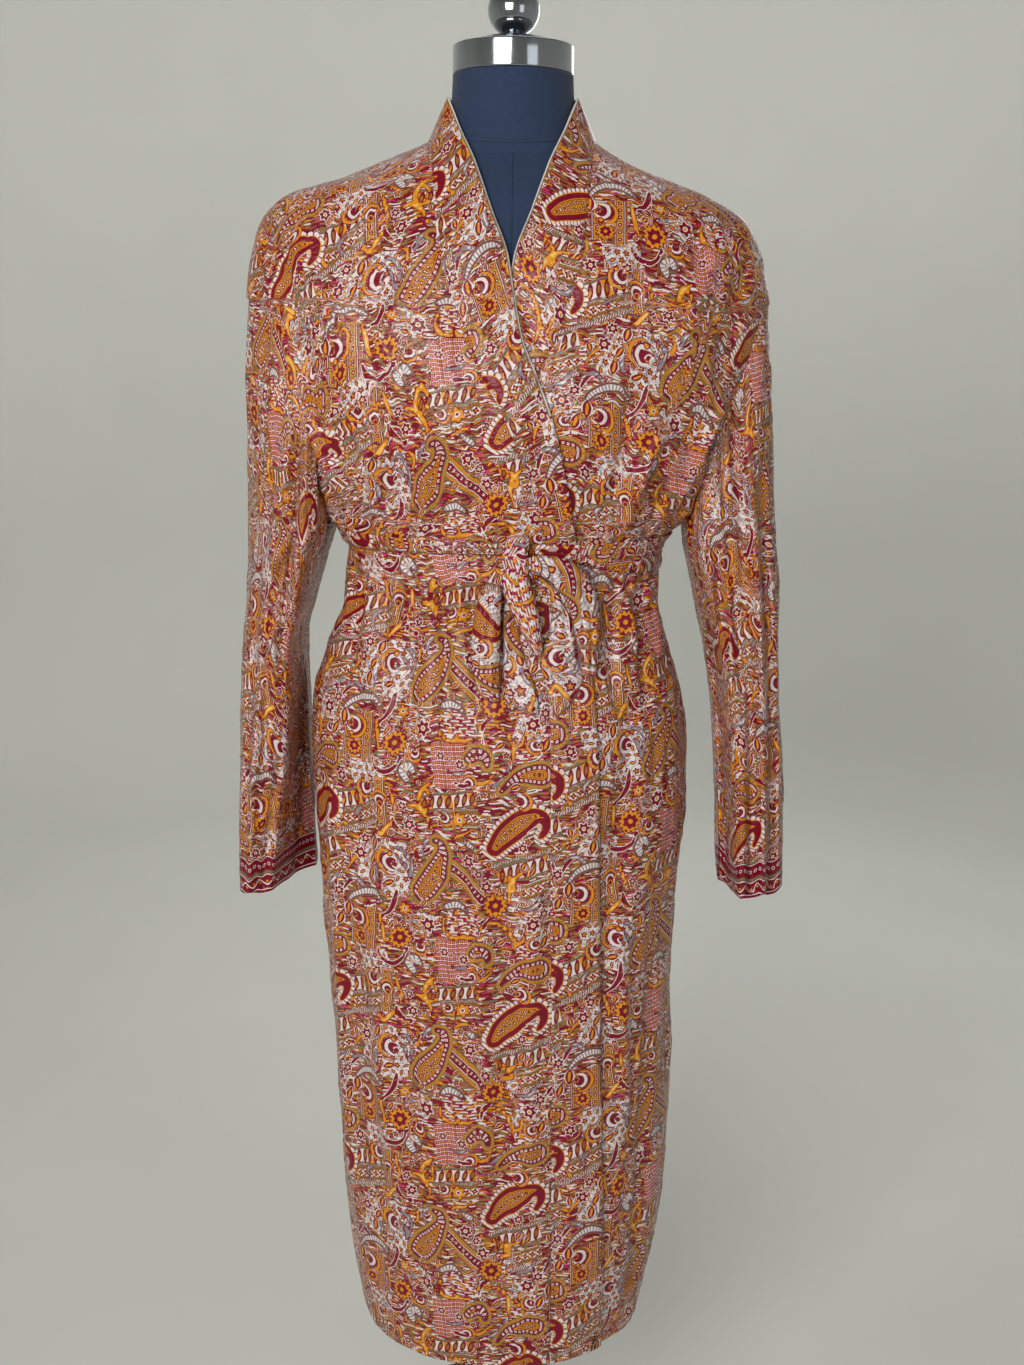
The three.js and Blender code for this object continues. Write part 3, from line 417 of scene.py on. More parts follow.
# %% The neckband's grids
def neckband(side):
    """One half of the band: up the front edge, round the neck, to the seam at the centre of the back."""
    way = 1 if side == "left" else -1
    columns = np.linspace(0, 1, 20)
    z = ROWS
    seam = body(angle_at(way * band_seam(z), z, True), z)
    edge_z = z + band_lead(z)
    on_body = on_front(way * band_edge(z), edge_z)
    standing = np.stack([way * band_edge(z), -band_stand(z), edge_z], -1)
    low = z <= BAND_LEAVES_Z
    edge = np.where(low[:, None], on_body, standing)
    grid = seam[:, None] + (edge - seam)[:, None] * columns[None, :, None]
    surface = on_front(grid[..., 0], grid[..., 2])
    grid[low, :, 1] = surface[low, :, 1]
    bulge = 3 * np.sin(np.pi * columns)[None] * smooth(1500, 1380, z)[:, None]
    grid[~low, :, 1] -= bulge[~low]
    # the band is double cloth, so it stands a little proud, and rounds off at its free edge
    proud = 1.1 * smooth(0, 0.06, columns) * smooth(1, 0.95, columns)
    grid[..., 1] -= proud[None] * smooth(NECK_Z, 1480, z)[:, None]
    if side == "right":
        grid = tuck(grid)
    back_seam = back_grid[-1][::-1] if side == "left" else back_grid[-1]
    half = back_grid.shape[1] // 2 + 1
    back_seam = back_seam[np.linspace(0, half - 1, half // 3).round().astype(int)]
    turn = np.linspace(0, 0.5, len(back_seam)) * np.pi
    turn = np.pi - turn if side == "left" else turn
    top_x, top_y = COLLAR_HALF * power(np.cos(turn)), COLLAR_BACK * power(np.sin(turn))
    top = np.stack([top_x, top_y, np.full(len(turn), COLLAR_TOP_Z)], -1)
    round_back = back_seam[:, None] + (top - back_seam)[:, None] * columns[None, :, None]
    grid = np.concatenate([grid, round_back[1:]])
    return grid if side == "left" else grid[:, ::-1]


def band_measure(grid):
    """Flat coordinates of a long narrow piece, across each row and up its middle."""
    u = running(lengths(grid, 1), 1)
    v = running(lengths(grid, 0).mean(axis=1))
    return np.stack([u, np.broadcast_to(v[:, None], u.shape)], -1)


band_right_grid, band_left_grid = neckband("left"), neckband("right")
print("neckband", band_right_grid.shape)

# %% [markdown]
# A sleeve is a tube that starts on the armhole seam and turns level toward the cuff. Its top ring is
# exactly the loop of points where the body panels end, and each ring below blends from that loop to a flat
# oval. The two sleeves hang differently, so each has its own table and its own folds.

# %% The sleeves' grids
SLEEVES = {
    "left": table("z outer inner depth", [
        [752, 284, 211, 80], [832, 282, 212, 84], [943, 281, 214, 87], [1009, 278, 216, 88],
        [1052, 275, 206, 88], [1095, 272, 194, 87], [1147, 270, 181, 85], [1258, 270, 190, 80],
        [1358, 264, 212, 72]]),
    "right": table("z outer inner depth", [
        [752, 300, 232, 80], [850, 298, 226, 84], [950, 288, 218, 87], [1003, 285, 209, 88],
        [1078, 281, 192, 88], [1120, 276, 183, 87], [1147, 274, 181, 85], [1234, 268, 190, 81],
        [1313, 262, 204, 76], [1358, 258, 212, 72]]),
}
SLEEVE_FOLDS = {
    "left": np.array([
        [-1, 226, 1270, 236, 1000, 8, 10], [1, 232, 1240, 246, 752, 9, 13]]),
    "right": np.array([
        [-1, 238, 1300, 258, 752, 12, 9], [-1, 214, 1120, 240, 752, 12, 8], [-1, 262, 1240, 280, 752, 9, 6],
        [1, 236, 1250, 258, 752, 10, 13]]),
}
SLEEVE_CREASES = {
    "left": np.array([
        [-1, 246, 1250, 262, 900, 2.0, 5], [-1, 262, 1200, 272, 760, -2.4, 5],
        [-1, 228, 1180, 236, 980, -2.2, 5], [-1, 206, 1140, 226, 1040, 2.4, 5],
        [-1, 256, 980, 268, 752, 2.6, 5], [-1, 236, 900, 256, 752, -2.4, 4],
        [-1, 214, 1170, 262, 1080, 1.8, 6], [-1, 220, 1060, 270, 1000, 1.8, 6],
        [-1, 232, 860, 280, 800, 1.4, 6], [1, 214, 1180, 226, 900, 2.4, 6],
        [1, 252, 1200, 266, 760, -2.4, 6], [1, 266, 1100, 274, 800, 2.0, 5]]),
    "right": np.array([
        [-1, 222, 1250, 246, 900, -2.4, 5], [-1, 252, 1240, 274, 752, 2.6, 5],
        [-1, 264, 1180, 286, 752, -2.6, 5], [-1, 204, 1140, 232, 900, 2.2, 5],
        [-1, 244, 1000, 252, 752, 2.2, 5], [-1, 212, 1180, 262, 1100, 1.8, 6],
        [-1, 216, 1040, 270, 980, 1.6, 6], [-1, 236, 880, 290, 820, 1.4, 6],
        [1, 216, 1180, 232, 900, 2.4, 6], [1, 254, 1200, 278, 760, -2.4, 6],
        [1, 270, 1100, 286, 800, 2.0, 5]]),
}
# where the long fold of each sleeve starts, x and z, and how far out it runs for each mm down
WING = {"left": (214, 1040, 0.112), "right": (224, 1000, 0.09)}


def sleeve(side, rows=196, count=132):
    """Rings from the armhole to the cuff; the first and last column meet at the underarm seam."""
    way = -1 if side == "left" else 1
    shape = SLEEVES[side]
    outer, inner, depth = (curve(shape["z"], shape[name]) for name in ("outer", "inner", "depth"))
    wing_x, wing_z, wing_slope = WING[side]
    t = np.linspace(0, 1, count + 1)
    z0 = ARMPIT_Z + np.where(t <= 0.5, 2 * t, 2 - 2 * t) * (SHOULDER_Z - ARMPIT_Z)
    angle = np.where(t <= 0.5, side_angle(side, z0, True), side_angle(side, z0, False))
    loop = body(angle, z0)

    def level(z):
        turn = 2 * np.pi * t
        middle = (outer(z) + inner(z)) / 2
        far = middle - (outer(z) - inner(z)) / 2 * power(np.cos(turn))
        s = -power(np.sin(turn))
        # the front of the sleeve hangs flatter than its back
        s = np.where(s < 0, s / (1 + (np.abs(s) / 0.8) ** 8) ** 0.125, s)
        fold = fold_depth(SLEEVE_FOLDS[side], np.sign(s), far, z) * np.minimum(1, np.abs(s) * 1.5)
        fine = fold_depth(SLEEVE_CREASES[side], np.sign(s), far, z) * np.minimum(1, np.abs(s) * 2.5)
        # the inner part of each sleeve falls back behind a long fold that starts near the elbow
        line = wing_x + (wing_z - z) * wing_slope
        share = np.clip((far - inner(z)) / np.maximum(line - inner(z), 1), 0, 1)
        falling = np.maximum((np.abs(s) - 0.76 * share**1.7) * depth(z), 0)
        wing = (s < 0) * smooth(1050, 980, z) * smooth(line + 2, line - 2, far) * falling
        # lower down, the left sleeve's outer side hangs forward, and so does the right one's inner side
        hang = 0.45 * way * (far - middle) * smooth(1080, 800, z)
        p = np.stack([way * far, s * depth(z) - np.sign(s) * (fold - 2.6 * fine + wing) + hang, z], -1)
        out = unit(p - np.stack([way * middle, 0 * z, z], -1))
        return p + out * crumples(p + 50 * way, 1.25)[..., None]

    start_level = level(z0)
    s = np.linspace(0, 1, rows + 1)[:, None]
    z = z0 + (CUFF_Z - z0) * s
    grid = level(z) + (loop - start_level) * ((1 - s) ** 2)[..., None]
    grid = grid[::-1]
    return grid if side == "right" else grid[:, ::-1]


sleeve_right_grid, sleeve_left_grid = sleeve("left"), sleeve("right")
print("sleeve", sleeve_right_grid.shape)

# %% [markdown]
# The belt is a tube of the same cloth, pressed flat, and its bow is the belt itself: loops and tails that
# come out of one knot. Each ribbon follows a middle line given by a few points on the front, with its width
# and turn at each, and small ridges fan out from the knot as they do in a tied satin bow.

# %% The belt, the bow and the knot
BELT = table("turn top bottom", [
    [0, 1130, 1093], [90, 1131, 1098], [180, 1134, 1117], [240, 1132, 1119], [268, 1130, 1120],
    [276, 1130, 1118], [295, 1129, 1110], [315, 1130, 1098], [360, 1130, 1093],
])
BOW = {
    "bow_loop_left": table("x z lift half turn", [
        [-6, 1108, 12, 7, 20], [-13, 1092, 14, 9, 12], [-19, 1064, 15.5, 12.5, 4], [-21, 1030, 15, 13.5, 0],
        [-20, 1000, 13, 12.5, -6], [-17, 985, 10, 10, -14], [-15, 981, 6.6, 9, -14],
        [-16, 985, 3.8, 10, -12], [-18, 1004, 3, 11, -4], [-18, 1040, 3, 10.5, 0], [-14, 1086, 3.2, 8, 8]]),
    "bow_loop_middle": table("x z lift half turn", [
        [7, 1106, 11.5, 11, 0], [7, 1099, 16, 13.5, -6], [11, 1082, 20.5, 15.5, -14],
        [16, 1066, 21, 16, -22], [21, 1047, 18.5, 14, -30], [26, 1033, 15, 9.5, -38],
        [28, 1025, 12.5, 6, -40], [26, 1032, 9.4, 8, -38], [20, 1048, 8.6, 10, -30],
        [13, 1074, 8.6, 9, -22], [9, 1092, 8.6, 7, -10]]),
    "bow_wing_right": table("x z lift half turn", [
        [20.5, 1112, 11, 6.5, 90], [28, 1111, 13, 9, 94], [38, 1108, 16, 12, 92], [54, 1101, 19, 16, 76],
        [68, 1086, 18.5, 16, 50], [76, 1063, 16.5, 14, 22], [79, 1038, 14.5, 11, 6], [80, 1014, 13, 8, -6],
        [80, 1005, 11, 7, -10], [79, 1009, 8.8, 7, -8], [77, 1034, 8.2, 9, 6], [72, 1062, 8.4, 11, 24],
        [60, 1084, 9, 12, 52], [47, 1097, 9, 9, 76], [32, 1105, 7.6, 5, 92]]),
    "belt_tail_left": table("x z lift half turn", [
        [5, 1098.3, 8, 5, 0], [4, 1089, 4, 5, 0], [3, 1060, 2.8, 7, 0], [4, 1038, 2.8, 8.5, 0],
        [8, 1010, 2.8, 12, -2], [14, 988, 3, 16, -8], [16, 973, 3.4, 17, -24]]),
    "belt_tail_right": table("x z lift half turn", [
        [20.8, 1101.6, 9.8, 2.6, 90], [27, 1099, 6.4, 4, 70], [36, 1093, 4, 5, 45],
        [46, 1083, 3.2, 6.5, 10], [53, 1062, 2.8, 9, -8], [54, 1042, 2.8, 14, -6], [52, 1018, 2.8, 21, -4],
        [56, 996, 2.8, 18, 0], [53, 980, 3, 13, 2], [48, 966, 3.4, 6, 2]]),
}


def belt_ring(count=260, columns=15):
    """The stretch of belt round the waist, with long ridges where the pressed tube is gathered."""
    turn = np.linspace(0, 360, count + 1)
    t = np.linspace(0, 1, columns)[:, None]
    top, bottom = curve(BELT["turn"], BELT["top"])(turn), curve(BELT["turn"], BELT["bottom"])(turn)
    angle = np.radians(turn)
    z = bottom + (top - bottom) * t
    p = body(np.broadcast_to(angle, z.shape), z, creased=False)
    out = unit(np.stack([p[..., 0] * 0.6, p[..., 1], np.zeros_like(z)], -1))
    ridge = 0.9 * np.sin(2 * np.pi * 2.5 * t + 2.2 * np.sin(angle * 3))
    ridge = ridge + 0.6 * np.sin(2 * np.pi * 4.5 * t - 5 * np.cos(angle * 2))
    groove = 1.7 * bell(t - 0.52 - 0.12 * np.sin(angle * 2), 0.09)
    lift = 3.3 + 1.9 * np.sin(np.pi * t) ** 0.7 + ridge * np.sin(np.pi * t) * 0.8 - groove
    return p + out * lift[..., None]


def along_points(columns, count):
    """Runs a smooth line through the rows of a table, evenly by number."""
    at = np.linspace(0, len(columns["x"]) - 1, count)
    knots = np.arange(len(columns["x"]))
    return {name: curve(knots, values)(at) for name, values in columns.items()}


def ribbon(name, columns=17):
    """A ribbon's face, with ridges that fan out from the knot and fade toward its end."""
    shape = BOW[name]
    run = along_points(shape, 12 * len(shape["x"]))
    u = np.linspace(-1, 1, columns)[None]
    x, z, lift, half = (run[k][:, None] for k in ("x", "z", "lift", "half"))
    turn = np.radians(run["turn"])[:, None]
    far = np.linspace(0, 1, len(run["x"]))[:, None]
    seed = sum(map(ord, name)) % 7  # each ribbon's ridges differ
    fan = 1.0 - np.abs(np.sin(u * 4.2 + seed + 1.5 * far)) * 1.6
    fine = np.sin(u * 9 + far * 5 + seed)
    ridges = 1.9 * fan * np.exp(-far * 1.6) + 0.7 * fine * (1 - 0.5 * far)
    crown = (3.4 if name.startswith("bow") else 1.8) * (1 - u * u) - 2.6 * u**6
    flat = np.stack(np.broadcast_arrays(x + half * u, z, lift), -1)
    puckers = 0.8 * noise(flat + 40 * seed, (7, 12, 9))
    rise = lift + crown + (ridges + puckers) * (1 - u**4)
    place = np.broadcast_arrays(x + half * u * np.cos(turn), z + half * u * np.sin(turn), rise)
    return on_front(*place, creased=False)


belt_grid = belt_ring()
ribbon_grids = {name: ribbon(name) for name in BOW}
print("belt", belt_grid.shape, "ribbons", len(ribbon_grids))

# %% [markdown]
# Edges tell how cloth is made. The hem, the cuffs and the band's free edges are turned under here, as a
# sewn edge is, so the cloth shows its thickness and a second layer inside. A ribbon is a closed thin tube.

# %% Sheets with turned edges
def normals_of(grid):
    """The direction that each point of a grid faces."""
    return unit(np.cross(np.gradient(grid, axis=1), np.gradient(grid, axis=0)), 1e-9)


def turn_under(grid, uv, edge, rows, thick=1.3):
    """Folds the cloth inward along one edge; edge is 'foot', 'start' or 'end'."""
    if edge != "foot":
        grid, uv = np.swapaxes(grid, 0, 1), np.swapaxes(uv, 0, 1)
    if edge == "end":
        grid, uv = grid[::-1], uv[::-1]
    n = normals_of(grid) * (-1 if edge == "start" else 1)
    inner = (grid - n * thick)[1:rows][::-1]
    lip = (grid[0] - n[0] * thick / 2 + unit(grid[0] - grid[1], 1e-9) * thick * 0.35)[None]
    low = (grid[0] - n[0] * thick)[None]
    grid = np.concatenate([inner, low, lip, grid])
    uv = np.concatenate([uv[1:rows][::-1], uv[:1], uv[:1], uv])
    if edge == "end":
        grid, uv = grid[::-1], uv[::-1]
    if edge != "foot":
        grid, uv = np.swapaxes(grid, 0, 1), np.swapaxes(uv, 0, 1)
    return grid, uv


def mesh_from_grid(name, grid, uv, fields=None):
    """A mesh of four-sided faces from a grid of points in millimetres, with its flat coordinates."""
    tall, wide = grid.shape[:2]
    index = np.arange(tall * wide).reshape(tall, wide)
    corners = index[:-1, :-1], index[:-1, 1:], index[1:, 1:], index[1:, :-1]
    faces = np.stack(corners, -1).reshape(-1, 4)
    mesh = bpy.data.meshes.new(name)
    mesh.vertices.add(tall * wide)
    mesh.vertices.foreach_set("co", (grid * MM).reshape(-1).astype(np.float32))
    mesh.loops.add(len(faces) * 4)
    mesh.loops.foreach_set("vertex_index", faces.reshape(-1).astype(np.int32))
    mesh.polygons.add(len(faces))
    mesh.polygons.foreach_set("loop_start", np.arange(0, len(faces) * 4, 4, dtype=np.int32))
    mesh.polygons.foreach_set("use_smooth", np.ones(len(faces), dtype=bool))
    layer = mesh.uv_layers.new(name="cloth")
    layer.data.foreach_set("uv", (uv.reshape(-1, 2)[faces.reshape(-1)] * MM).reshape(-1).astype(np.float32))
    for key, values in (fields or {}).items():
        stored = mesh.attributes.new(key, "FLOAT_VECTOR", "POINT").data
        stored.foreach_set("vector", values.reshape(-1).astype(np.float32))
    mesh.update()
    mesh.validate()
    piece = bpy.data.objects.new(name, mesh)
    bpy.context.scene.collection.objects.link(piece)
    return piece


# %% [markdown]
# The print is a patchwork of leaf-shaped paisleys, striped bands, small flowers and thin scrolls, and it
# repeats about every 23 by 20.5 centimetres. An image would be the usual way. Here each motif is instead a
# line or a centre given in a chart, and every point of the mesh stores how far along and how far beside the
# nearest one it lies. Those numbers run smoothly over the cloth, so the material can draw crisp edges from
# them, however coarse the mesh is.

# %% The chart of the print
REPEAT = np.array([230.0, 205.0])
NESTED, BEADED, ARCH = 1, 2, 3
# kind, then points x, y, radius in mm, with y down from the top of the repeat
LEAVES = [
    (NESTED, [(94, 108, 11.5), (100, 100, 12.5), (109, 88, 10.5), (116, 76, 7.5), (120.5, 66, 5),
      (118.5, 57, 3.6), (112, 54, 2.4)]),
    (BEADED, [(176, 57, 8.5), (184, 47, 11.5), (194, 38, 12.5), (206, 29, 11), (217, 24, 7.5),
      (226, 28, 5), (227, 38, 3.4), (222, 46, 2.4)]),
    (NESTED, [(222, 187, 10.5), (211, 187, 9), (199, 190, 5.5), (189, 196, 3), (182, 204, 2)]),
    (ARCH, [(7, 134, 2.2), (15, 125, 3.2), (28, 119, 4), (40, 120, 3.4), (50, 127, 2.2)]),
    (ARCH, [(151, 57, 4.2), (146, 54, 3), (141, 49, 1.6)]),
    (ARCH, [(92, 190, 3), (86, 184, 4.6), (80, 190, 5), (84, 198, 4)]),
    (ARCH, [(120, 122, 3.4), (128, 119, 4.2), (137, 122, 3), (143, 128, 1.6)]),
    (NESTED, [(150, 172, 5), (158, 166, 6), (166, 170, 4.4), (168, 178, 2.4)]),
]
TRIPLE, LEAF_ROW, ROPE, FLOWER_ROW, COLUMN, DASHED, CHECK, PALE, PALE_LARGE = range(5, 14)
# kind, half width in mm, then points
BANDS = [
    (TRIPLE, 11.0, [(124, 78), (163, 113)]),
    (LEAF_ROW, 10.0, [(-4, 30), (47, 11)]),
    (FLOWER_ROW, 8.5, [(0, 49), (46, 31)]),
    (ROPE, 2.2, [(0, 62), (46, 43)]),
    (LEAF_ROW, 10.0, [(178, 89), (228, 73)]),
    (FLOWER_ROW, 8.0, [(200, 105), (228, 96)]),
    (ROPE, 2.2, [(170, 78), (230, 61)]),
    (ROPE, 2.2, [(192, 119), (229, 108)]),
    (COLUMN, 7.4, [(54, -4), (54, 44)]),
    (COLUMN, 7.4, [(36, 135), (36, 182)]),
    (LEAF_ROW, 9.0, [(98, 17), (156, 7)]),
    (CHECK, 23.0, [(112, 182), (146, 178)]),
    (PALE, 12.0, [(36, 68), (26, 108)]),
    (PALE, 15.0, [(66, 60), (62, 118)]),
    (PALE, 12.0, [(86, 140), (106, 146)]),
    (PALE, 13.0, [(196, 140), (222, 150)]),
    (PALE, 10.0, [(216, 116), (186, 104)]),
    (FLOWER_ROW, 9.0, [(120, 32), (160, 26)]),
    (DASHED, 15.0, [(122, 138), (156, 138)]),
    (COLUMN, 6.0, [(14, 140), (14, 180)]),
    (PALE, 12.0, [(58, 190), (20, 198)]),
    (DASHED, 12.0, [(196, 168), (222, 164)]),
]
AMBER_SCROLL, MAROON_SCROLL, GREY_SCROLL = 1, 2, 3
# half width in the middle, then points; each scroll ends in a round knob
SCROLLS = {
    AMBER_SCROLL: [
        (2.1, [(83, 20), (92, 20), (99, 24), (105, 31), (108, 40)]),
        (1.7, [(141, 155), (130, 155.5), (121, 152), (117, 144), (119, 135)]),
        (1.6, [(154, 151.5), (146, 154.5), (137, 152), (133, 144)]),
        (1.8, [(192, 124), (188, 112), (187, 102), (193, 103), (193.5, 95), (182, 85), (168, 78)]),
        (1.8, [(188, 107), (189, 97), (196, 89), (204, 84)]),
        (2.0, [(193, 178), (193, 160), (189, 148), (179, 139), (168, 136), (160, 141)]),
        (1.3, [(193, 152), (199, 160), (205, 158)]),
        (2.2, [(66, 39), (58, 48), (52, 55), (46, 48)]),
        (1.7, [(65, 0), (68, 14), (72, 26), (80, 29)]),
        (2.0, [(110, 199), (101, 206), (96, 218), (101, 227), (109, 225)]),
        (1.5, [(102, 204), (109, 212), (107, 220)]),
        (2.1, [(9, 24), (4, 34), (3, 44), (8, 52)]),
        (1.9, [(46, 138), (50, 154), (53, 168), (61, 167)]),
        (1.5, [(84, 60), (91, 67), (89, 77), (82, 81)]),
        (1.5, [(217, 134), (207, 144), (204, 156), (212, 166)]),
        (1.6, [(150, 188), (158, 196), (168, 193), (175, 184)]),
        (1.5, [(28, 70), (20, 82), (12, 87), (5, 98)]),
        (1.4, [(72, 196), (80, 203), (88, 200)]),
        (1.4, [(128, 52), (137, 46), (146, 44), (152, 38)]),
    ],
    MAROON_SCROLL: [
        (2.3, [(66, 108), (64, 124), (58, 136), (49, 143)]),
        (2.2, [(45, 178), (50, 189), (61, 193), (72, 187), (77, 176)]),
        (2.4, [(66, 33), (68, 42), (74, 49), (82, 52)]),
        (1.8, [(176, 128), (166, 134), (161, 145), (164, 156)]),
        (1.8, [(132, 196), (142, 200), (154, 198)]),
        (1.6, [(90, 150), (82, 156), (80, 166), (86, 173)]),
        (1.7, [(212, 110), (220, 116), (224, 126)]),
        (1.6, [(12, 108), (4, 116), (-2, 128)]),
        (1.5, [(110, 60), (102, 66), (96, 62)]),
    ],
    GREY_SCROLL: [
        (2.2, [(46, 106), (40, 98), (41, 86), (48, 78)]),
        (1.9, [(67, 66), (78, 70), (83, 81), (79, 96)]),
        (1.6, [(69, 77), (75, 83), (77, 94)]),
        (2.0, [(27, 118), (14, 108), (3, 112)]),
        (1.8, [(74, 146), (84, 142), (96, 149), (106, 147)]),
        (1.9, [(170, 200), (182, 193), (189, 181)]),
        (1.8, [(112, 50), (102, 56), (98, 66)]),
        (1.9, [(224, 104), (214, 118), (198, 122)]),
        (1.7, [(30, 28), (22, 36), (26, 46)]),
        (1.6, [(146, 182), (138, 188), (128, 186)]),
    ],
}
SUNFLOWER, SMALL_FLOWER, AMBER_FLOWER, SWIRL, SINGLE_LEAF = range(1, 6)
# x, y, radius, turn in degrees
ROSETTES = {
    SUNFLOWER: [
        (174, 118, 12.5, 0), (70, 163, 12.5, 20), (22, 170, 9, 10),
    ],
    AMBER_FLOWER: [
        (75, 131, 6, 0), (138, 30, 7.5, 0),
    ],
    SMALL_FLOWER: [
        (147, 73, 6.5, 0), (165, 98, 6, 30), (158, 84, 4.5, 10), (101, 144, 8, 0), (30, 63, 5.5, 0),
        (22, 79, 6.5, 20), (213, 137, 7.5, 0), (225, 126, 5.5, 40), (140, 178, 5, 0), (8, 205, 6, 0),
        (44, 203, 5, 0), (204, 58, 5, 0), (120, 172, 4.5, 20), (84, 40, 6, 0), (78, 22, 4.5, 0),
    ],
    SWIRL: [
        (58, 82, 14.5, 10), (36, 8, 11.5, 60), (204, 10, 10, 200), (92, 172, 8.5, 120),
        (22, 150, 13, 190), (54, 16, 9, 300), (214, 158, 8.5, 40), (150, 196, 8, 250), (124, 30, 8, 160),
    ],
    SINGLE_LEAF: [
        (44, 66, 8, 75), (37, 84, 7, 60), (32, 99, 8, 80), (214, 82, 6, 60), (204, 77, 5.5, 65),
        (237, 143, 9, 85), (226, 157, 8, 70), (87, 138, 5, 10), (88, 149, 5, -30), (56, 104, 7, 20),
        (178, 104, 5, 80), (150, 120, 5, 20), (132, 100, 4.5, 40), (96, 120, 5, 60), (8, 82, 6, 100),
        (180, 158, 6, 30), (112, 96, 4, 0), (52, 30, 5, 90), (196, 200, 6, 20), (60, 150, 5, 60),
    ],
}
print(len(LEAVES), "leaves", len(BANDS), "bands", sum(map(len, SCROLLS.values())), "scrolls",
      sum(map(len, ROSETTES.values())), "flowers and single leaves")


# %% Where each point of cloth lies on the chart
def fine_line(points, steps=6):
    """A rounded curve through the points of a motif, as many short straight pieces."""
    p = np.array(points, float)
    if len(p) == 2:
        return p
    ends = np.concatenate([[2 * p[0] - p[1]], p, [2 * p[-1] - p[-2]]])
    t = np.linspace(0, 1, steps, endpoint=False)[:, None]
    pieces = [
        (2 * b + (c - a) * t + (2 * a - 5 * b + 4 * c - d) * t**2 + (3 * b - a - 3 * c + d) * t**3) / 2
        for a, b, c, d in zip(ends[:-3], ends[1:-2], ends[2:-1], ends[3:])
    ]
    return np.concatenate(pieces + [p[-1:]])


def beside(q, line):
    """Signed distance beside a line, distance along it and the place between its ends, for points q."""
    a, b = line[:-1, :2], line[1:, :2]
    ab = b - a
    length = np.linalg.norm(ab, axis=1)
    start = running(length)
    rel = q[:, None, :] - a[None]
    along = (rel * ab[None]).sum(-1) / length
    side = (ab[None, :, 0] * rel[..., 1] - ab[None, :, 1] * rel[..., 0]) / length
    over = np.maximum(0, np.maximum(-along, along - length))
    far = np.hypot(side, over)
    k = far.argmin(1)
    pick = np.arange(len(q)), k
    s = along[pick]
    s = np.where((k > 0) & (s < 0), 0, s)
    s = np.where((k < len(a) - 1) & (s > length[k]), length[k], s)
    sign = np.where(side[pick] < 0, -1.0, 1.0)
    lateral = np.where((s < 0) | (s > length[k]), side[pick], sign * far[pick])
    return lateral, start[k] + s, start[-1], far[pick]


def local(uv, centre):
    """Places relative to a motif's centre, on the nearest repeat, with y down."""
    q = np.stack([uv[:, 0], -uv[:, 1]], -1) - centre
    return q - REPEAT * np.round(q / REPEAT)


def near_line(q, points, reach_out):
    """Which points lie near a motif's line, and where they lie beside it."""
    line = fine_line(points)
    middle = line[:, :2].mean(0)
    at = local(q, middle)
    near = np.flatnonzero(np.abs(at).max(1) < reach_out)
    line = np.column_stack([line[:, :2] - middle, line[:, 2:]])
    return near, at[near], line, beside(at[near], line)


# mm beside a motif past which nothing is drawn, and the values that stand for nothing near
FAR_LEAF, FAR_BAND, FAR_SCROLL, FAR_ROSETTE, FAR_EDGE = 30.0, 90.0, 20.0, 9.0, 999.0


def keep_nearest(field, near, d, *values):
    """Stores a motif's values where it is nearer than what is stored."""
    better = d < field[near, 0]
    field[near[better]] = np.column_stack(np.broadcast_arrays(*values))[better]


def chart(uv, offset):
    """The fields that the print material reads, for each point of a piece."""
    q = uv.reshape(-1, 2) - np.asarray(offset, float)
    count = len(q)
    leaf, band = np.full((count, 3), FAR_LEAF), np.full((count, 3), FAR_BAND)
    scroll, rosette = np.full((count, 3), FAR_SCROLL), np.full((count, 3), FAR_ROSETTE)
    band_kind = np.tile((0.0, 60.0, 0.0), (count, 1))
    for kind, points in LEAVES:
        near, _, line, (_, s, _, far) = near_line(q, points, 52)
        d = far - np.interp(s, running(lengths(line[:, :2], 0)), line[:, 2])
        keep_nearest(leaf, near, d, d, s, kind)
    for kind, half, points in BANDS:
        near, _, _, (lateral, s, total, _) = near_line(q, points, 60)
        ends = np.maximum(-s, s - total)
        d = np.maximum(np.abs(lateral) - half, ends)
        # a band that the point is already inside keeps it, so the first in the list lies on top
        better = (band_kind[near, 1] > 0) & (d < band_kind[near, 1])
        band[near[better]] = np.column_stack([lateral, s, ends])[better]
        band_kind[near[better]] = np.column_stack(np.broadcast_arrays(kind, d, half))[better]
    for kind, scrolls in SCROLLS.items():
        for half, points in scrolls:
            near, at, line, (_, s, total, far) = near_line(q, points, 45)
            width = half * (0.3 + 0.8 * np.sin(np.pi * np.clip(s / total, 0, 1) ** 0.8))
            knob = np.linalg.norm(at - line[-1], axis=1) - half * 1.15
            d = np.minimum(far - width, knob)
            keep_nearest(scroll, near, d, d, s, kind)
    best = np.full(count, 4.0)
    for kind, flowers in ROSETTES.items():
        for x, y, radius, turn in flowers:
            at = local(q, (x, y)) / radius
            far = np.linalg.norm(at, axis=1)
            c, s = math.cos(math.radians(turn)), math.sin(math.radians(turn))
            better = far < best
            best[better] = far[better]
            turned = at[:, 0] * c - at[:, 1] * s, at[:, 0] * s + at[:, 1] * c
            rosette[better] = np.column_stack(np.broadcast_arrays(*turned, kind))[better]
    return {"leaf": leaf, "band": band, "band_kind": band_kind, "scroll": scroll, "rosette": rosette}


# %% [markdown]
# The material is printed polyester satin: a smooth weave of long floats that gives broad soft highlights,
# with ink colours that stay clear because the yarn is bright. The node tree paints from the ground upward:
# short woven dashes, then bands, leaves, scrolls and flowers. Numbers on the surface are handled with a
# small class that adds one Math node for each sign, so that the patterns read as plain sums.

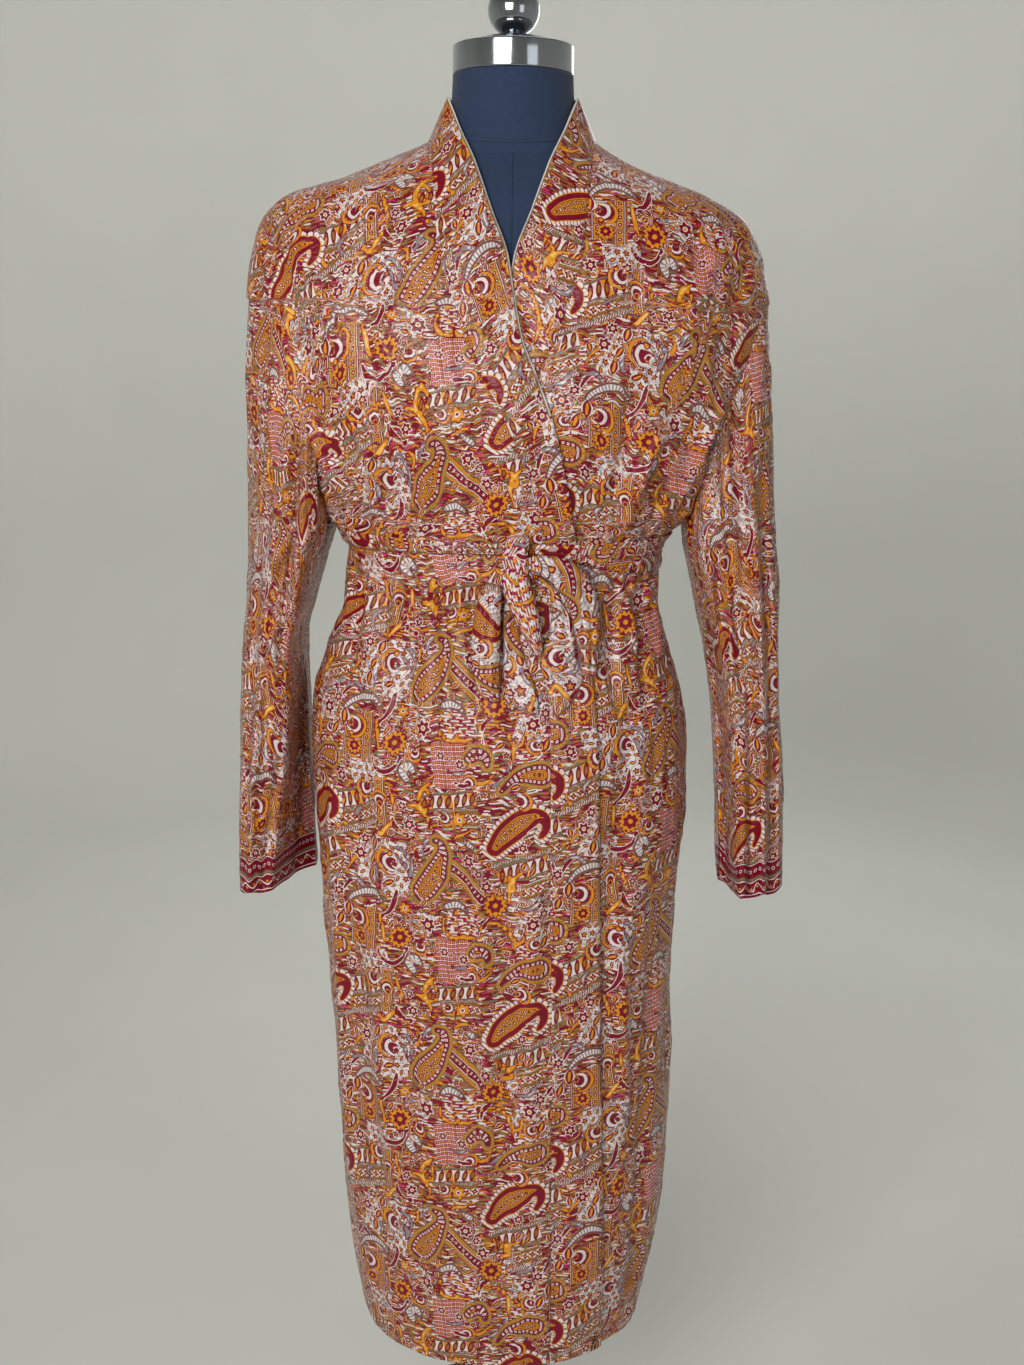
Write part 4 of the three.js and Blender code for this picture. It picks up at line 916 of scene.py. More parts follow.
# %% Helpers for node trees
def linear(hex_colour):
    """An sRGB colour such as 7d1f2f as linear values."""
    parts = [int(hex_colour.lstrip("#")[k:k + 2], 16) / 255 for k in (0, 2, 4)]
    return tuple(c / 12.92 if c <= 0.04045 else ((c + 0.055) / 1.055) ** 2.4 for c in parts) + (1.0,)


def add(tree, kind, *inputs, out=0, **settings):
    """Adds a node with its settings, fills or links its inputs in order, and gives one output."""
    made = tree.nodes.new(kind if kind.startswith(("Geometry", "Function")) else "ShaderNode" + kind)
    for name, value in settings.items():
        setattr(made, name, value)
    for spot, value in enumerate(inputs):
        if isinstance(value, bpy.types.NodeSocket):
            tree.links.new(value, made.inputs[spot])
        elif value is not None:
            made.inputs[spot].default_value = value
    return made.outputs[out]


class Num:
    """A number that varies over the surface; each sign adds one Math node."""

    def __init__(self, socket):
        self.socket = socket

    def op(self, operation, *others):
        args = [self.socket] + [o.socket if isinstance(o, Num) else float(o) for o in others]
        return Num(add(self.socket.id_data, "Math", *args, operation=operation))

    def __add__(self, o): return self.op("ADD", o)
    def __sub__(self, o): return self.op("SUBTRACT", o)
    def __mul__(self, o): return self.op("MULTIPLY", o)
    def __truediv__(self, o): return self.op("DIVIDE", o)
    def __mod__(self, o): return self.op("FLOORED_MODULO", o)
    def __lt__(self, o): return self.op("LESS_THAN", o)
    def __gt__(self, o): return self.op("GREATER_THAN", o)
    def __and__(self, o): return self.op("MULTIPLY", o)
    def __or__(self, o): return self.op("MAXIMUM", o)
    def __abs__(self): return self.op("ABSOLUTE")
    def floor(self): return self.op("FLOOR")
    def sin(self): return self.op("SINE")
    def hypot(self, o): return (self * self + o * o).op("SQRT")
    def between(self, low, high): return (self > low) & (self < high)
    def near(self, value): return abs(self - value) < 0.5


def paint(tree, under, colour, where):
    """Lays a colour over another where a mask is one."""
    where = where.socket if isinstance(where, Num) else where
    mix = tree.nodes.new("ShaderNodeMix")
    mix.data_type = "RGBA"
    tree.links.new(where, mix.inputs[0])
    for spot, value in ((6, under), (7, colour)):
        if isinstance(value, bpy.types.NodeSocket):
            tree.links.new(value, mix.inputs[spot])
        else:
            mix.inputs[spot].default_value = value
    return mix.outputs[2]


# %% The inks
MAROON, AMBER, OCHRE = linear("7c0c26"), linear("dc8f20"), linear("9a692a")
TAUPE, LILAC, PINK = linear("7c7052"), linear("e2d6d4"), linear("c23f68")
GREY, PALE_AMBER = linear("8d8389"), linear("f0bd62")
print("eight inks")

# %% The print's node group, and what it reads
paisley = bpy.data.node_groups.new("paisley print", "ShaderNodeTree")
paisley.interface.new_socket("Color", in_out="OUTPUT", socket_type="NodeSocketColor")


def parts(vector):
    """The three numbers of a vector."""
    split = paisley.nodes.new("ShaderNodeSeparateXYZ")
    paisley.links.new(vector, split.inputs[0])
    return [Num(socket) for socket in split.outputs]


def read(name):
    """One of the chart's fields, three numbers at each point."""
    return parts(add(paisley, "Attribute", attribute_name=name, out=1))


def layers(under, *coats):
    """Lays colours over another in turn; each coat is a colour and the mask where it goes."""
    for colour, where in coats:
        under = paint(paisley, under, colour, where)
    return under


def random_of_cell(column, row, out):
    """A random number, or a vector of three, for each cell of a grid."""
    cell = add(paisley, "CombineXYZ", column.socket, row.socket, 0.0)
    return add(paisley, "TexWhiteNoise", cell, noise_dimensions="2D", out=out)


u, v, _ = parts(add(paisley, "UVMap", uv_map="cloth"))
u, v = u * 1000, v * 1000  # in mm
off_line, along, _ = read("band")
kind, edge, half = read("band_kind")
side = abs(off_line)
inside = edge < 0
print("fields read")

# %% The ground: broken rows of short woven dashes
DASH_LONG, DASH_HIGH = 6.4, 1.35
row = (v / DASH_HIGH + (u * 0.11).sin() * 0.8 + (u * 0.37).sin() * 0.3).floor()
chance = Num(random_of_cell((u / DASH_LONG + row * 0.37).floor(), row, 0))
colour = layers(
    OCHRE, (MAROON, chance < 0.42), (LILAC, chance.between(0.42, 0.55)), (PINK, chance.between(0.55, 0.62)),
    (TAUPE, chance.between(0.62, 0.74)), (AMBER, chance > 0.93))

# %% The pale parts, marbled with thin waves
pale = inside & (kind > PALE - 0.5)
waves = (u * 0.42 + (v * 0.35).sin() * 2.6).sin() + (v * 0.5 + (u * 0.3).sin() * 2.2).sin()
marbled = layers(LILAC, (GREY, abs(waves) < 0.34), (MAROON, abs(waves - 1.05) < 0.13))
colour = layers(colour, (marbled, pale))

# %% Small leaves and flowers, one to a cell, most of them on the pale parts
CELL_WIDE, CELL_HIGH = 9, 8
grow = kind.near(PALE_LARGE) * 0.9 + 1
us, vs = u / grow, v / grow
tall = (vs / CELL_HIGH).floor()
wide = (us / CELL_WIDE + tall * 0.5).floor()
turn, which, often = parts(random_of_cell(wide, tall, 1))
px = us - (wide - tall * 0.5 + 0.5) * CELL_WIDE + which - 0.5
py = vs - (tall + 0.5) * CELL_HIGH + often - 0.5
cosine, sine = (turn * 6.283).op("COSINE"), (turn * 6.283).sin()
lx, ly = px * cosine + py * sine, py * cosine - px * sine
almond = abs(ly) / (lx * lx * -0.155 + 2.1)
petal = lx.hypot(ly) - (ly.op("ARCTAN2", lx) * 5).sin() * 0.75
strewn = pale | (often < 0.30)
leaf_here, flower_here = strewn & (which < 0.6) & (abs(lx) < 3.6), strewn & (which > 0.6)
colour = layers(
    colour, (LILAC, leaf_here & (almond < 1.3)), (MAROON, leaf_here & (almond < 0.95)),
    (AMBER, leaf_here & (almond < 0.34) & (abs(lx) < 2.0)), (LILAC, flower_here & (petal < 3.7)),
    (MAROON, flower_here & (petal < 3.0)), (AMBER, flower_here & (petal < 1.0)))
print("ground painted,", len(paisley.nodes), "nodes")

# %% A fine check of little squares
small = abs(along % 4.2 - 2.1) | abs(off_line % 4.6 - 2.3)
check = layers(
    LILAC, (MAROON, small < 1.95), (PINK, small.between(1.5, 1.95)), (AMBER, small < 0.9),
    (OCHRE, (along + 40) % 12.6 < 0.9))

# %% Broken stripes
line_no = (off_line / 3.4).floor()
broken = (along * 0.5 + (line_no * 2.4).sin() * 6).sin()
dashed = layers(
    MAROON, (LILAC, (off_line % 3.4 < 1.5) & (broken > -0.55)),
    (PINK, (off_line % 3.4).between(1.5, 2.4) & (broken < 0.1)),
    (OCHRE, (off_line % 6.8 > 5.4) & (broken > 0.2)),
    (AMBER, (waves < -0.95) & (broken < 0.5)), (LILAC, (waves > 0.95) & (broken > -0.6)))

# %% A row of slanted leaves between two bars
number = (along / 8.6).floor()
in_cell = along % 8.6 - 4.3 + off_line * 0.38
leaf_far = (in_cell / 3.0).hypot(off_line / (half - 2.6))
leaf_row = layers(
    LILAC, (AMBER, number % 3 < 0.5), (MAROON, leaf_far < 1), (OCHRE, leaf_far < 0.5),
    (TAUPE, side > half - 2.6),
    (MAROON, abs(side - half + 2.4) < 0.4))

# %% Small flowers in a row on a check
in_cell = along % 8.0 - 4.0
petal = in_cell.hypot(off_line)
lobes = (off_line.op("ARCTAN2", in_cell) * 4).sin() * 0.8
flower_row = layers(
    OCHRE, (MAROON, (along % 2.6 < 1.3) & (off_line % 2.6 < 1.3)), (LILAC, petal < 4.0),
    (MAROON, petal < lobes + 2.9),
    (AMBER, petal < 1.0), (TAUPE, side > half - 1.6), (LILAC, side > half - 0.7))

# %% A striped column of small squares
in_cell = along % 7.4 - 3.7
dot = in_cell.hypot(off_line)
column = layers(
    AMBER, (TAUPE, (abs(in_cell) | side) > 3.1), (MAROON, dot < 2.1), (LILAC, dot < 0.7),
    (MAROON, side.between(3.6, 4.4)), (LILAC, side.between(4.4, 5.0)), (MAROON, side > 5.0),
    (OCHRE, side > 6.2))

# %% A rope of slanted ticks, and the band of three stripes with white ticks
rope = layers(LILAC, (MAROON, (along + off_line * 0.9) % 2.8 < 1.6), (TAUPE, side > 1.5))
tick = abs(off_line + 0.4)
triple = layers(
    OCHRE, (AMBER, (along + side) % 2.6 < 1.3), (TAUPE, side < 5.4), (LILAC, side < 4.8),
    (MAROON, side < 4.1),
    (LILAC, (along % 5.2 < 1.9) & (tick < 1.5)), (MAROON, (along % 5.2 < 1.0) & (tick < 0.6)),
    (MAROON, side > 9.0), (TAUPE, side > 9.8))

# %% Each kind of band goes where the chart has it
for number, pattern in (
    (CHECK, check), (DASHED, dashed), (LEAF_ROW, leaf_row), (FLOWER_ROW, flower_row), (COLUMN, column),
    (ROPE, rope),
    (TRIPLE, triple),
):
    colour = layers(colour, (pattern, inside & kind.near(number)))
print("bands painted,", len(paisley.nodes), "nodes")

# %% Thin tapering scrolls with a dark outline and a light middle
deep_in, _, scroll_kind = read("scroll")
for number, edging, fill, light in (
    (AMBER_SCROLL, MAROON, AMBER, PALE_AMBER), (MAROON_SCROLL, LILAC, MAROON, MAROON),
    (GREY_SCROLL, MAROON, GREY, LILAC),
):
    here = scroll_kind.near(number)
    colour = layers(
        colour, (edging, here & (deep_in < 0.75)), (fill, here & (deep_in < 0.05)),
        (light, here & (deep_in < -1.1)))

# %% Paisley leaves in nested outlines, with squares along the dark band
depth, run, leaf_kind = read("leaf")
nested, beaded, arch = leaf_kind < 1.5, leaf_kind.near(BEADED), leaf_kind.near(ARCH)
halo = layers(OCHRE, (AMBER, (run + depth) % 2.6 < 1.3))
bead = (run % 4.2 - 2.1).hypot((depth - 2.8) * 0.66)
squares = abs(run % 4.8 - 2.4) | abs(depth + 2.6)
core = (run % 5.0 - 2.5).hypot(depth + 9.4)
colour = layers(
    colour, (TAUPE, (depth < 4.4) & nested), (halo, (depth < 3.6) & nested),
    (MAROON, (bead < 2.15) & beaded), (LILAC, (bead < 1.65) & beaded), (TAUPE, depth < 1.2),
    (MAROON, depth < 0.3), (AMBER, depth.between(0.3, 1.3) & beaded), (LILAC, (squares < 1.25) & nested),
    (PINK, (squares < 0.5) & nested),
    (AMBER, depth < -5.0), (MAROON, depth < -5.9), (halo, depth < -6.5), (GREY, (depth < -0.7) & arch),
    (LILAC, (run % 3.4 < 2.0) & (depth < -1.2) & arch), (MAROON, core < 1.7), (LILAC, core < 0.7))
print("scrolls and leaves painted,", len(paisley.nodes), "nodes")

# %% Sunflowers and small flowers, drawn by distance from their middle and the angle round it
x, y, flower = read("rosette")
r, angle = x.hypot(y), y.op("ARCTAN2", x)
rays, petals = (angle * 13).sin() * 0.12, (angle * 6).sin() * 0.17
here = flower.near(SUNFLOWER)
colour = layers(
    colour, (MAROON, (r < rays + 1.0) & here), (AMBER, (r < rays + 0.86) & here),
    (MAROON, (r < (angle * 7).sin() * 0.08 + 0.58) & here), (AMBER, (r < 0.2) & here))
flower_inks = (SMALL_FLOWER, LILAC, MAROON, AMBER), (AMBER_FLOWER, MAROON, AMBER, MAROON)
for number, rim, petal_ink, eye in flower_inks:
    here = flower.near(number)
    colour = layers(
        colour, (rim, (r < petals + 1.0) & here), (petal_ink, (r < petals + 0.83) & here),
        (LILAC, (r < 0.34) & here),
        (eye, (r < 0.2) & here))

# %% Swirls of nested crescents, each one disc less another, and single leaves
here = flower.near(SWIRL)
for cx, cy, outer_r, bx, by, inner_r, ink in (
    (0.0, 0.0, 1.0, 0.17, 0.09, 0.84, MAROON), (0.0, 0.0, 0.93, 0.16, 0.08, 0.87, AMBER),
    (0.12, 0.06, 0.74, 0.24, 0.13, 0.68, MAROON), (0.20, 0.10, 0.62, 0.44, 0.24, 0.42, LILAC),
    (0.28, 0.12, 0.44, 0.52, 0.28, 0.30, MAROON), (0.44, -0.56, 0.22, 9.0, 9.0, 0.1, MAROON),
    (0.44, -0.56, 0.14, 9.0, 9.0, 0.1, AMBER), (0.50, 0.26, 0.16, 9.0, 9.0, 0.1, MAROON),
):
    crescent = ((x - cx).hypot(y - cy) < outer_r) & ((x - bx).hypot(y - by) > inner_r)
    colour = layers(colour, (ink, crescent & here))
almond = abs(y) / (x * x * -0.5 + 0.5)
here = flower.near(SINGLE_LEAF)
colour = layers(
    colour, (LILAC, (almond < 1.3) & (abs(x) < 1.0) & here),
    (MAROON, (almond < 0.98) & (abs(x) < 0.96) & here),
    (AMBER, (almond < 0.34) & (abs(x) < 0.6) & here))

# %% The printed borders of the cuffs, the band's free edge and the back's side edges
CUFF_BORDER, BAND_BORDER, SIDE_BORDER = 1, 2, 3
deep, run, border = read("border")
wave, stud = abs(deep - 11.5 + (run * 0.34).sin() * 3.6), (run % 6.4 - 3.2).hypot(deep - 31)
cuff = layers(
    MAROON, (LILAC, wave < 0.9), (AMBER, (run % 9.24 - 4.6).hypot(deep - 11.5) < 1.5),
    (LILAC, deep.between(2.6, 3.8) | deep.between(18.4, 19.6) | deep.between(38, 39)),
    (TAUPE, deep.between(20.4, 23.6)), (LILAC, stud < 2.0), (MAROON, stud < 1.2))
strip = layers(TAUPE, (LILAC, deep < 1.4))
ticks = ((run % 46 < 3.4) & (deep > 2)) | ((run % 92).between(60, 63) & (deep < 12))
ticked = layers(MAROON, (LILAC, ticks), (AMBER, (run % 138).between(20, 25) & (deep < 14)))
colour = layers(
    colour, (cuff, (deep < 40) & border.near(CUFF_BORDER)),
    (strip, (deep < 2.8) & border.near(BAND_BORDER)), (ticked, (deep < 26) & border.near(SIDE_BORDER)))
paisley.links.new(colour, paisley.nodes.new("NodeGroupOutput").inputs[0])
print("print group with", len(paisley.nodes), "nodes")


# %% The satin
def plain_material(name, colour, **values):
    """A material of one colour; gives it with its tree, its shader and the place on the object."""
    material = bpy.data.materials.new(name)
    material.use_nodes = True
    tree = material.node_tree
    surface = tree.nodes["Principled BSDF"]
    surface.inputs["Base Color"].default_value = linear(colour)
    for key, value in values.items():
        surface.inputs[key.replace("_", " ")].default_value = value
    return material, tree, surface, add(tree, "TexCoord", out=3)


# printed polyester satin: clear ink colours under a broad soft highlight, with fine crumples as bump
satin, tree, surface, place_on = plain_material("printed polyester satin", "a87866", Roughness=0.34)
surface.inputs["Specular IOR Level"].default_value = 0.3
ink = tree.nodes.new("ShaderNodeGroup")
ink.node_tree = paisley
tree.links.new(ink.outputs[0], surface.inputs["Base Color"])
crease = add(tree, "TexNoise", place_on, None, 85.0, 3.0, 0.55, None, None, 0.6)
# short level wrinkles about 3 mm apart and three times as long
flat = add(tree, "Mapping", place_on, None, None, (0.34, 0.34, 1.0))
wrinkle = add(tree, "TexNoise", flat, None, 330.0, 2.0, 0.5, None, None, 0.4)
broad = add(tree, "Bump", 0.7, 0.0034, None, crease)
tree.links.new(add(tree, "Bump", 0.7, 0.0012, None, wrinkle, broad), surface.inputs["Normal"])
print("satin ready")

# %% [markdown]
# Each sheet is now made from its grid. It hides the solid it stands for, and it prints how large its
# flat cut is, which is measured on the sheet itself, because the creases are small against the cloth.

# %% The cloth pieces
def finish_piece(piece, node, material):
    """Gives a piece its material, hangs it on the root and hides the solid it stands for; a small extra
    stands for no solid.
    """
    if material:
        piece.data.materials.append(material)
    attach(piece, "root")
    if node:
        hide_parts(node)


def spread_out(piece, grid, uv):
    """Prints how large the sheet is when it lies flat."""
    width, length = np.ptp(uv[..., 0], axis=1).max() * MM, np.ptp(uv[..., 1], axis=0).max() * MM
    a, b = grid[1:, 1:] - grid[:-1, :-1], grid[1:, :-1] - grid[:-1, 1:]
    area = min(np.linalg.norm(np.cross(a, b), axis=-1).sum() / 2 * MM * MM, width * length)
    print(piece.name, "flat", round(width, 3), "by", round(length, 3), "m, area", round(area, 3))


def no_border(count):
    return np.tile((FAR_EDGE, 0.0, 0.0), (count, 1))


def cloth(name, grid, uv, offset, node, turned, border):
    """Makes a sheet of cloth from a grid, with some of its edges turned under."""
    for edge, rows in turned:
        grid, uv = turn_under(grid, uv, edge, rows)
    fields = chart(uv, offset)
    fields["border"] = border(uv) if border else no_border(uv.size // 2)
    piece = mesh_from_grid(name, grid, uv, fields)
    finish_piece(piece, node, satin)
    spread_out(piece, grid, uv)


HEM, START, END = ("foot", 9), ("start", 5), ("end", 5)  # the edge, and how many rows are turned under


def sides_border(uv):
    """The back piece's selvedge, a plain printed border that shows beside the fronts below the hip."""
    u, v = uv[..., 0], uv[..., 1]
    deep = np.minimum(u - u.min(axis=1, keepdims=True), u.max(axis=1, keepdims=True) - u)
    return np.stack([deep, v, np.where(v < 905, SIDE_BORDER, 0.0)], -1)


cloth("robe_back", back_grid, back_uv, (20, 60), "back", [HEM], sides_border)
cloth("robe_front_right", front_right_grid, front_right_uv, (-187, 1092), "front_right", [HEM], None)
cloth("robe_front_left", front_left_grid, front_left_uv, (66, 1010), "front_left", [HEM], None)


# %% The sleeves and the neckband
def cuff_border(uv):
    """Both sleeves end in a printed border."""
    return np.stack([uv[..., 1] - CUFF_Z, uv[..., 0], np.full(uv.shape[:2], CUFF_BORDER)], -1)


def band_border(side):
    def border(uv):
        """A narrow strip along the band's free edge, above the height where the laps part."""
        u, v = uv[..., 0], uv[..., 1]
        deep = (u.max(axis=1, keepdims=True) - u) if side == "left" else (u - u.min(axis=1, keepdims=True))
        return np.stack([deep, v, np.where(v > 1010, BAND_BORDER, 0.0)], -1)
    return border


for name, grid, offset, node in (
    ("robe_sleeve_right", sleeve_right_grid, (30, 1003), "sleeve_right"),
    ("robe_sleeve_left", sleeve_left_grid, (95, 1064), "sleeve_left"),
):
    cloth(name, grid, measure(grid, np.zeros(len(grid)), 0, CUFF_Z), offset, node, [HEM], cuff_border)
for name, grid, offset, node, free_edge, side in (
    ("neckband_upper", band_right_grid, (12, 70), "neckband_right", END, "left"),
    ("neckband_under", band_left_grid, (77, 48), "neckband_left", START, "right"),
):
    cloth(name, grid, band_measure(grid), offset, node, [free_edge, HEM], band_border(side))

# %% [markdown]
# The belt, its loops and its tails are double cloth, so each is a closed thin band: a face, a back a little
# over a millimetre behind it, and the folded edges between. The knot is one turn of the belt round the
# rest.

# %% The belt, the ribbons and the knot
def closed(piece):
    """Merges the joining column, closes the ends and points every face outward."""
    work = bmesh.new()
    work.from_mesh(piece.data)
    bmesh.ops.remove_doubles(work, verts=work.verts, dist=1e-6)
    bmesh.ops.holes_fill(work, edges=[e for e in work.edges if e.is_boundary], sides=0)
    bmesh.ops.recalc_face_normals(work, faces=work.faces)
    work.to_mesh(piece.data)
    work.free()
    piece.data.shade_smooth()


def on_pale_ground(fields):
    """Moves a piece's dashed ground to the pale part of the print."""
    outside = fields["band_kind"][:, 1] > 0
    fields["band_kind"][outside] = (PALE_LARGE, -1.0, 60.0)
    return fields


def on_striped_ground(fields, uv):
    """Gives a piece the part of the print with broken stripes, running along it."""
    flat = uv.reshape(-1, 2)
    fields["band"] = np.column_stack([flat[:, 0], flat[:, 1], np.full(len(flat), -9.0)])
    fields["band_kind"] = np.tile((float(DASHED), -9.0, 60.0), (len(flat), 1))
    fields["leaf"][:] = FAR_LEAF
    fields["rosette"][:] = FAR_ROSETTE
    return fields


def band_piece(name, grid, thick, offset, node):
    """A closed thin band round a grid, with its print."""
    n = normals_of(grid)
    long = grid.shape[0] >= grid.shape[1]
    uv = band_measure(grid) if long else measure(grid, np.zeros(len(grid)))
    face, back = grid + n * thick / 2, grid - n * thick / 2
    loop = np.concatenate([face, back[:, ::-1], face[:, :1]], axis=1)
    loop_uv = np.concatenate([uv, uv[:, ::-1], uv[:, :1]], axis=1)
    fields = chart(loop_uv, offset)
    if "middle" in name:
        fields = on_striped_ground(fields, loop_uv)
    elif "waist" not in name:
        fields = on_pale_ground(fields)
    fields["border"] = no_border(loop_uv.size // 2)
    piece = mesh_from_grid(name, loop, loop_uv, fields)
    closed(piece)
    finish_piece(piece, node, satin)
    spread_out(piece, grid, uv)


waist_grid = np.swapaxes(belt_grid, 0, 1)[:, ::-1]
band_piece("belt_round_waist", waist_grid, 1.4, (15, 140), "belt")
for number, (name, grid) in enumerate(ribbon_grids.items()):
    band_piece(name + "_satin", grid, 1.1, (40 + 37 * number, 90 + 23 * number), name)

# %% The knot
KNOT = table("z x half lift deep", [
    [1097, 8, 10, 11, 4], [1104, 8, 12.5, 12.4, 7], [1112, 7, 12.5, 12.6, 8], [1120, 7, 12, 12.4, 8],
    [1130, 8, 11.5, 11.6, 7.4], [1138, 9, 10.5, 10, 6], [1143, 10, 8, 8.6, 4],
])
KNOT_FOOT_Z, KNOT_TOP_Z = 1097, 1143
knot_z = np.linspace(KNOT_FOOT_Z, KNOT_TOP_Z, 41)
knot_x, knot_half, knot_lift, knot_deep = (
    curve(KNOT["z"], KNOT[name])(knot_z) for name in ("x", "half", "lift", "deep"))
middle = on_front(knot_x, knot_z, knot_lift, creased=False)
turn = np.linspace(0, 2 * np.pi, 61)[None]
tall = knot_z[:, None]
wrap = 0.5 * np.sin(tall * 0.35 + 1.3 * np.cos(turn + 0.4)) + 0.5 * np.sin(turn * 9 + tall * 0.12)
# one deep fold runs down its front, where the last turn of the belt goes under
wrap = wrap - 2.2 * bell(turn - 1.5 * np.pi + 0.45 + 0.008 * (tall - 1120), 0.17)
end = (smooth(KNOT_FOOT_Z, KNOT_FOOT_Z + 6, knot_z) * smooth(KNOT_TOP_Z, KNOT_TOP_Z - 5, knot_z))[:, None]
knot_grid = np.stack([
    middle[:, :1] + (knot_half[:, None] + wrap) * power(np.cos(turn)) * (0.55 + 0.45 * end),
    middle[:, 1:2] + (knot_deep[:, None] + wrap) * power(np.sin(turn)) * (0.5 + 0.5 * end),
    np.broadcast_to(tall, wrap.shape),
], -1)
knot_uv = band_measure(knot_grid)
knot_fields = on_striped_ground(chart(knot_uv, (150, 20)), knot_uv)
knot_fields["border"] = no_border(knot_uv.size // 2)
knot = mesh_from_grid("belt_knot_satin", knot_grid, knot_uv, knot_fields)
closed(knot)
finish_piece(knot, "belt_knot", satin)
print("knot", len(knot.data.polygons), "faces")

# %% [markdown]
# The turned edges are held by a row of machine stitches. Each is a short thread lying on the cloth between
# two needle holes. Geometry Nodes repeat one small stitch along a line on the sheet, which would be tedious
# by hand, and the result is kept as a plain mesh.

# %% The stitches
# spun polyester thread: a dull twisted yarn that takes the cloth's red
thread, tree, surface, place_on = plain_material("spun polyester thread", "6f1c2a", Roughness=0.6)
twist = add(tree, "TexWave", place_on, 900.0, 1.0, 1.0, out=1)
tree.links.new(paint(tree, linear("6f1c2a"), linear("96404a"), twist), surface.inputs["Base Color"])


def stitch_tree():
    """Repeats one small stitch along a line, spaced evenly and turned along it."""
    tree = bpy.data.node_groups.new("row of stitches", "GeometryNodeTree")
    tree.interface.new_socket("Geometry", in_out="INPUT", socket_type="NodeSocketGeometry")
    tree.interface.new_socket("Geometry", in_out="OUTPUT", socket_type="NodeSocketGeometry")
    for name, value in (("Spacing", 0.0034), ("Stitch length", 0.0026), ("Thread thickness", 0.0006)):
        tree.interface.new_socket(name, in_out="INPUT", socket_type="NodeSocketFloat").default_value = value
    line, spacing, length, thick = tree.nodes.new("NodeGroupInput").outputs[:4]
    path = add(tree, "GeometryNodeMeshToCurve", line)
    points = add(tree, "GeometryNodeResampleCurve", path, None, None, spacing, mode="LENGTH")
    shape = add(tree, "GeometryNodeMeshUVSphere", 6, 4, 0.5)
    size = add(tree, "CombineXYZ", length, thick, thick)
    one = add(tree, "GeometryNodeTransform", shape, None, None, size)
    ahead = add(tree, "GeometryNodeInputTangent")
    turn = add(tree, "FunctionNodeAlignRotationToVector", None, None, ahead, axis="X")
    row = add(tree, "GeometryNodeInstanceOnPoints", points, None, one, None, None, turn)
    plain = add(tree, "GeometryNodeRealizeInstances", row)
    done = add(tree, "GeometryNodeSetMaterial", plain, None, thread)
    tree.links.new(done, tree.nodes.new("NodeGroupOutput").inputs[0])
    return tree


stitches = stitch_tree()


def stitch_row(name, lines, spacing=3.4):
    """Machine stitches along lines of points in millimetres."""
    mesh = bpy.data.meshes.new(name + "_line")
    points = np.concatenate(lines) * MM
    starts = np.cumsum([0] + [len(line) for line in lines])
    edges = [(i, i + 1) for a, b in zip(starts[:-1], starts[1:]) for i in range(a, b - 1)]
    mesh.from_pydata(points.tolist(), edges, [])
    guide = bpy.data.objects.new(name + "_line", mesh)
    bpy.context.scene.collection.objects.link(guide)
    modifier = guide.modifiers.new("stitches", "NODES")
    modifier.node_group = stitches
    sockets = stitches.interface.items_tree
    socket = {item.name: item.identifier for item in sockets if item.in_out == "INPUT"}
    modifier[socket["Spacing"]] = spacing * MM
    now = guide.evaluated_get(bpy.context.evaluated_depsgraph_get())
    piece = bpy.data.objects.new(name, bpy.data.meshes.new_from_object(now))
    bpy.context.scene.collection.objects.link(piece)
    bpy.data.objects.remove(guide)
    piece.data.shade_smooth()
    finish_piece(piece, None, None)
    print(name, len(piece.data.polygons), "faces")


def just_above(grid):
    """The points of a grid, lifted off the cloth by a little less than the thread is thick."""
    return grid + normals_of(grid) * 0.15


hemmed = back_grid, front_right_grid, front_left_grid, band_right_grid
stitch_row("hem_stitches", [just_above(grid)[4] for grid in hemmed])
stitch_row("cuff_stitches", [just_above(grid)[5] for grid in (sleeve_right_grid, sleeve_left_grid)])
upper_line, under_line = just_above(band_right_grid)[:, 1], just_above(band_left_grid)[len(ROWS) // 2:, -2]
stitch_row("neckband_stitches", [upper_line, under_line])

# %% [markdown]
# The dress form is a padded body under tight black cotton jersey, with a seam round the base of its neck
# and one down the middle. It stays just inside the robe. Its shape is the same stack of sections as the
# solid's, only finer, and the seams are thin raised cords, because stitched jersey stands up a little
# there.

# %% The dress form
FORM = table("z inset widest", [
    [775, 12, 172], [810, 9, 181], [900, 8, 184], [955, 8, 178], [1005, 8, 164], [1060, 9, 146],
    [1112, 9, 145], [1147, 9, 156], [1200, 9, 170], [1252, 9, 184], [1296, 9, 194], [1340, 9, 202],
    [1385, 9, 207], [1405, 8.6, 208], [1425, 6.4, 206], [1445, 3, 202], [1458, 2.4, 195], [1472, 2.6, 170],
    [1484, 2.6, 150], [1496, 2.4, 110],
])
FORM_NECK = table("z half front back", [
    [1503, 76, 56, 57], [1511, 68, 54, 55], [1522, 63, 53, 54], [1540, 60, 54, 54], [1570, 58.5, 57, 57],
])
form_inset, form_widest = curve(FORM["z"], FORM["inset"]), curve(FORM["z"], FORM["widest"])


def form_surface(angle, z):
    """The robe's body again, narrowed to the form, and a little smaller where the robe hides it."""
    s = np.sin(angle)
    hidden = smooth(1400, 1340, z)
    half = np.minimum(np.minimum(reach["left"](z), reach["right"](z)), form_widest(z) + 5) - 3 * hidden
    deep = np.where(s < 0, reach["front"](z), reach["back"](z)) - 4.5 * hidden
    return np.stack(np.broadcast_arrays(half * power(np.cos(angle)), deep * power(s), z), -1)


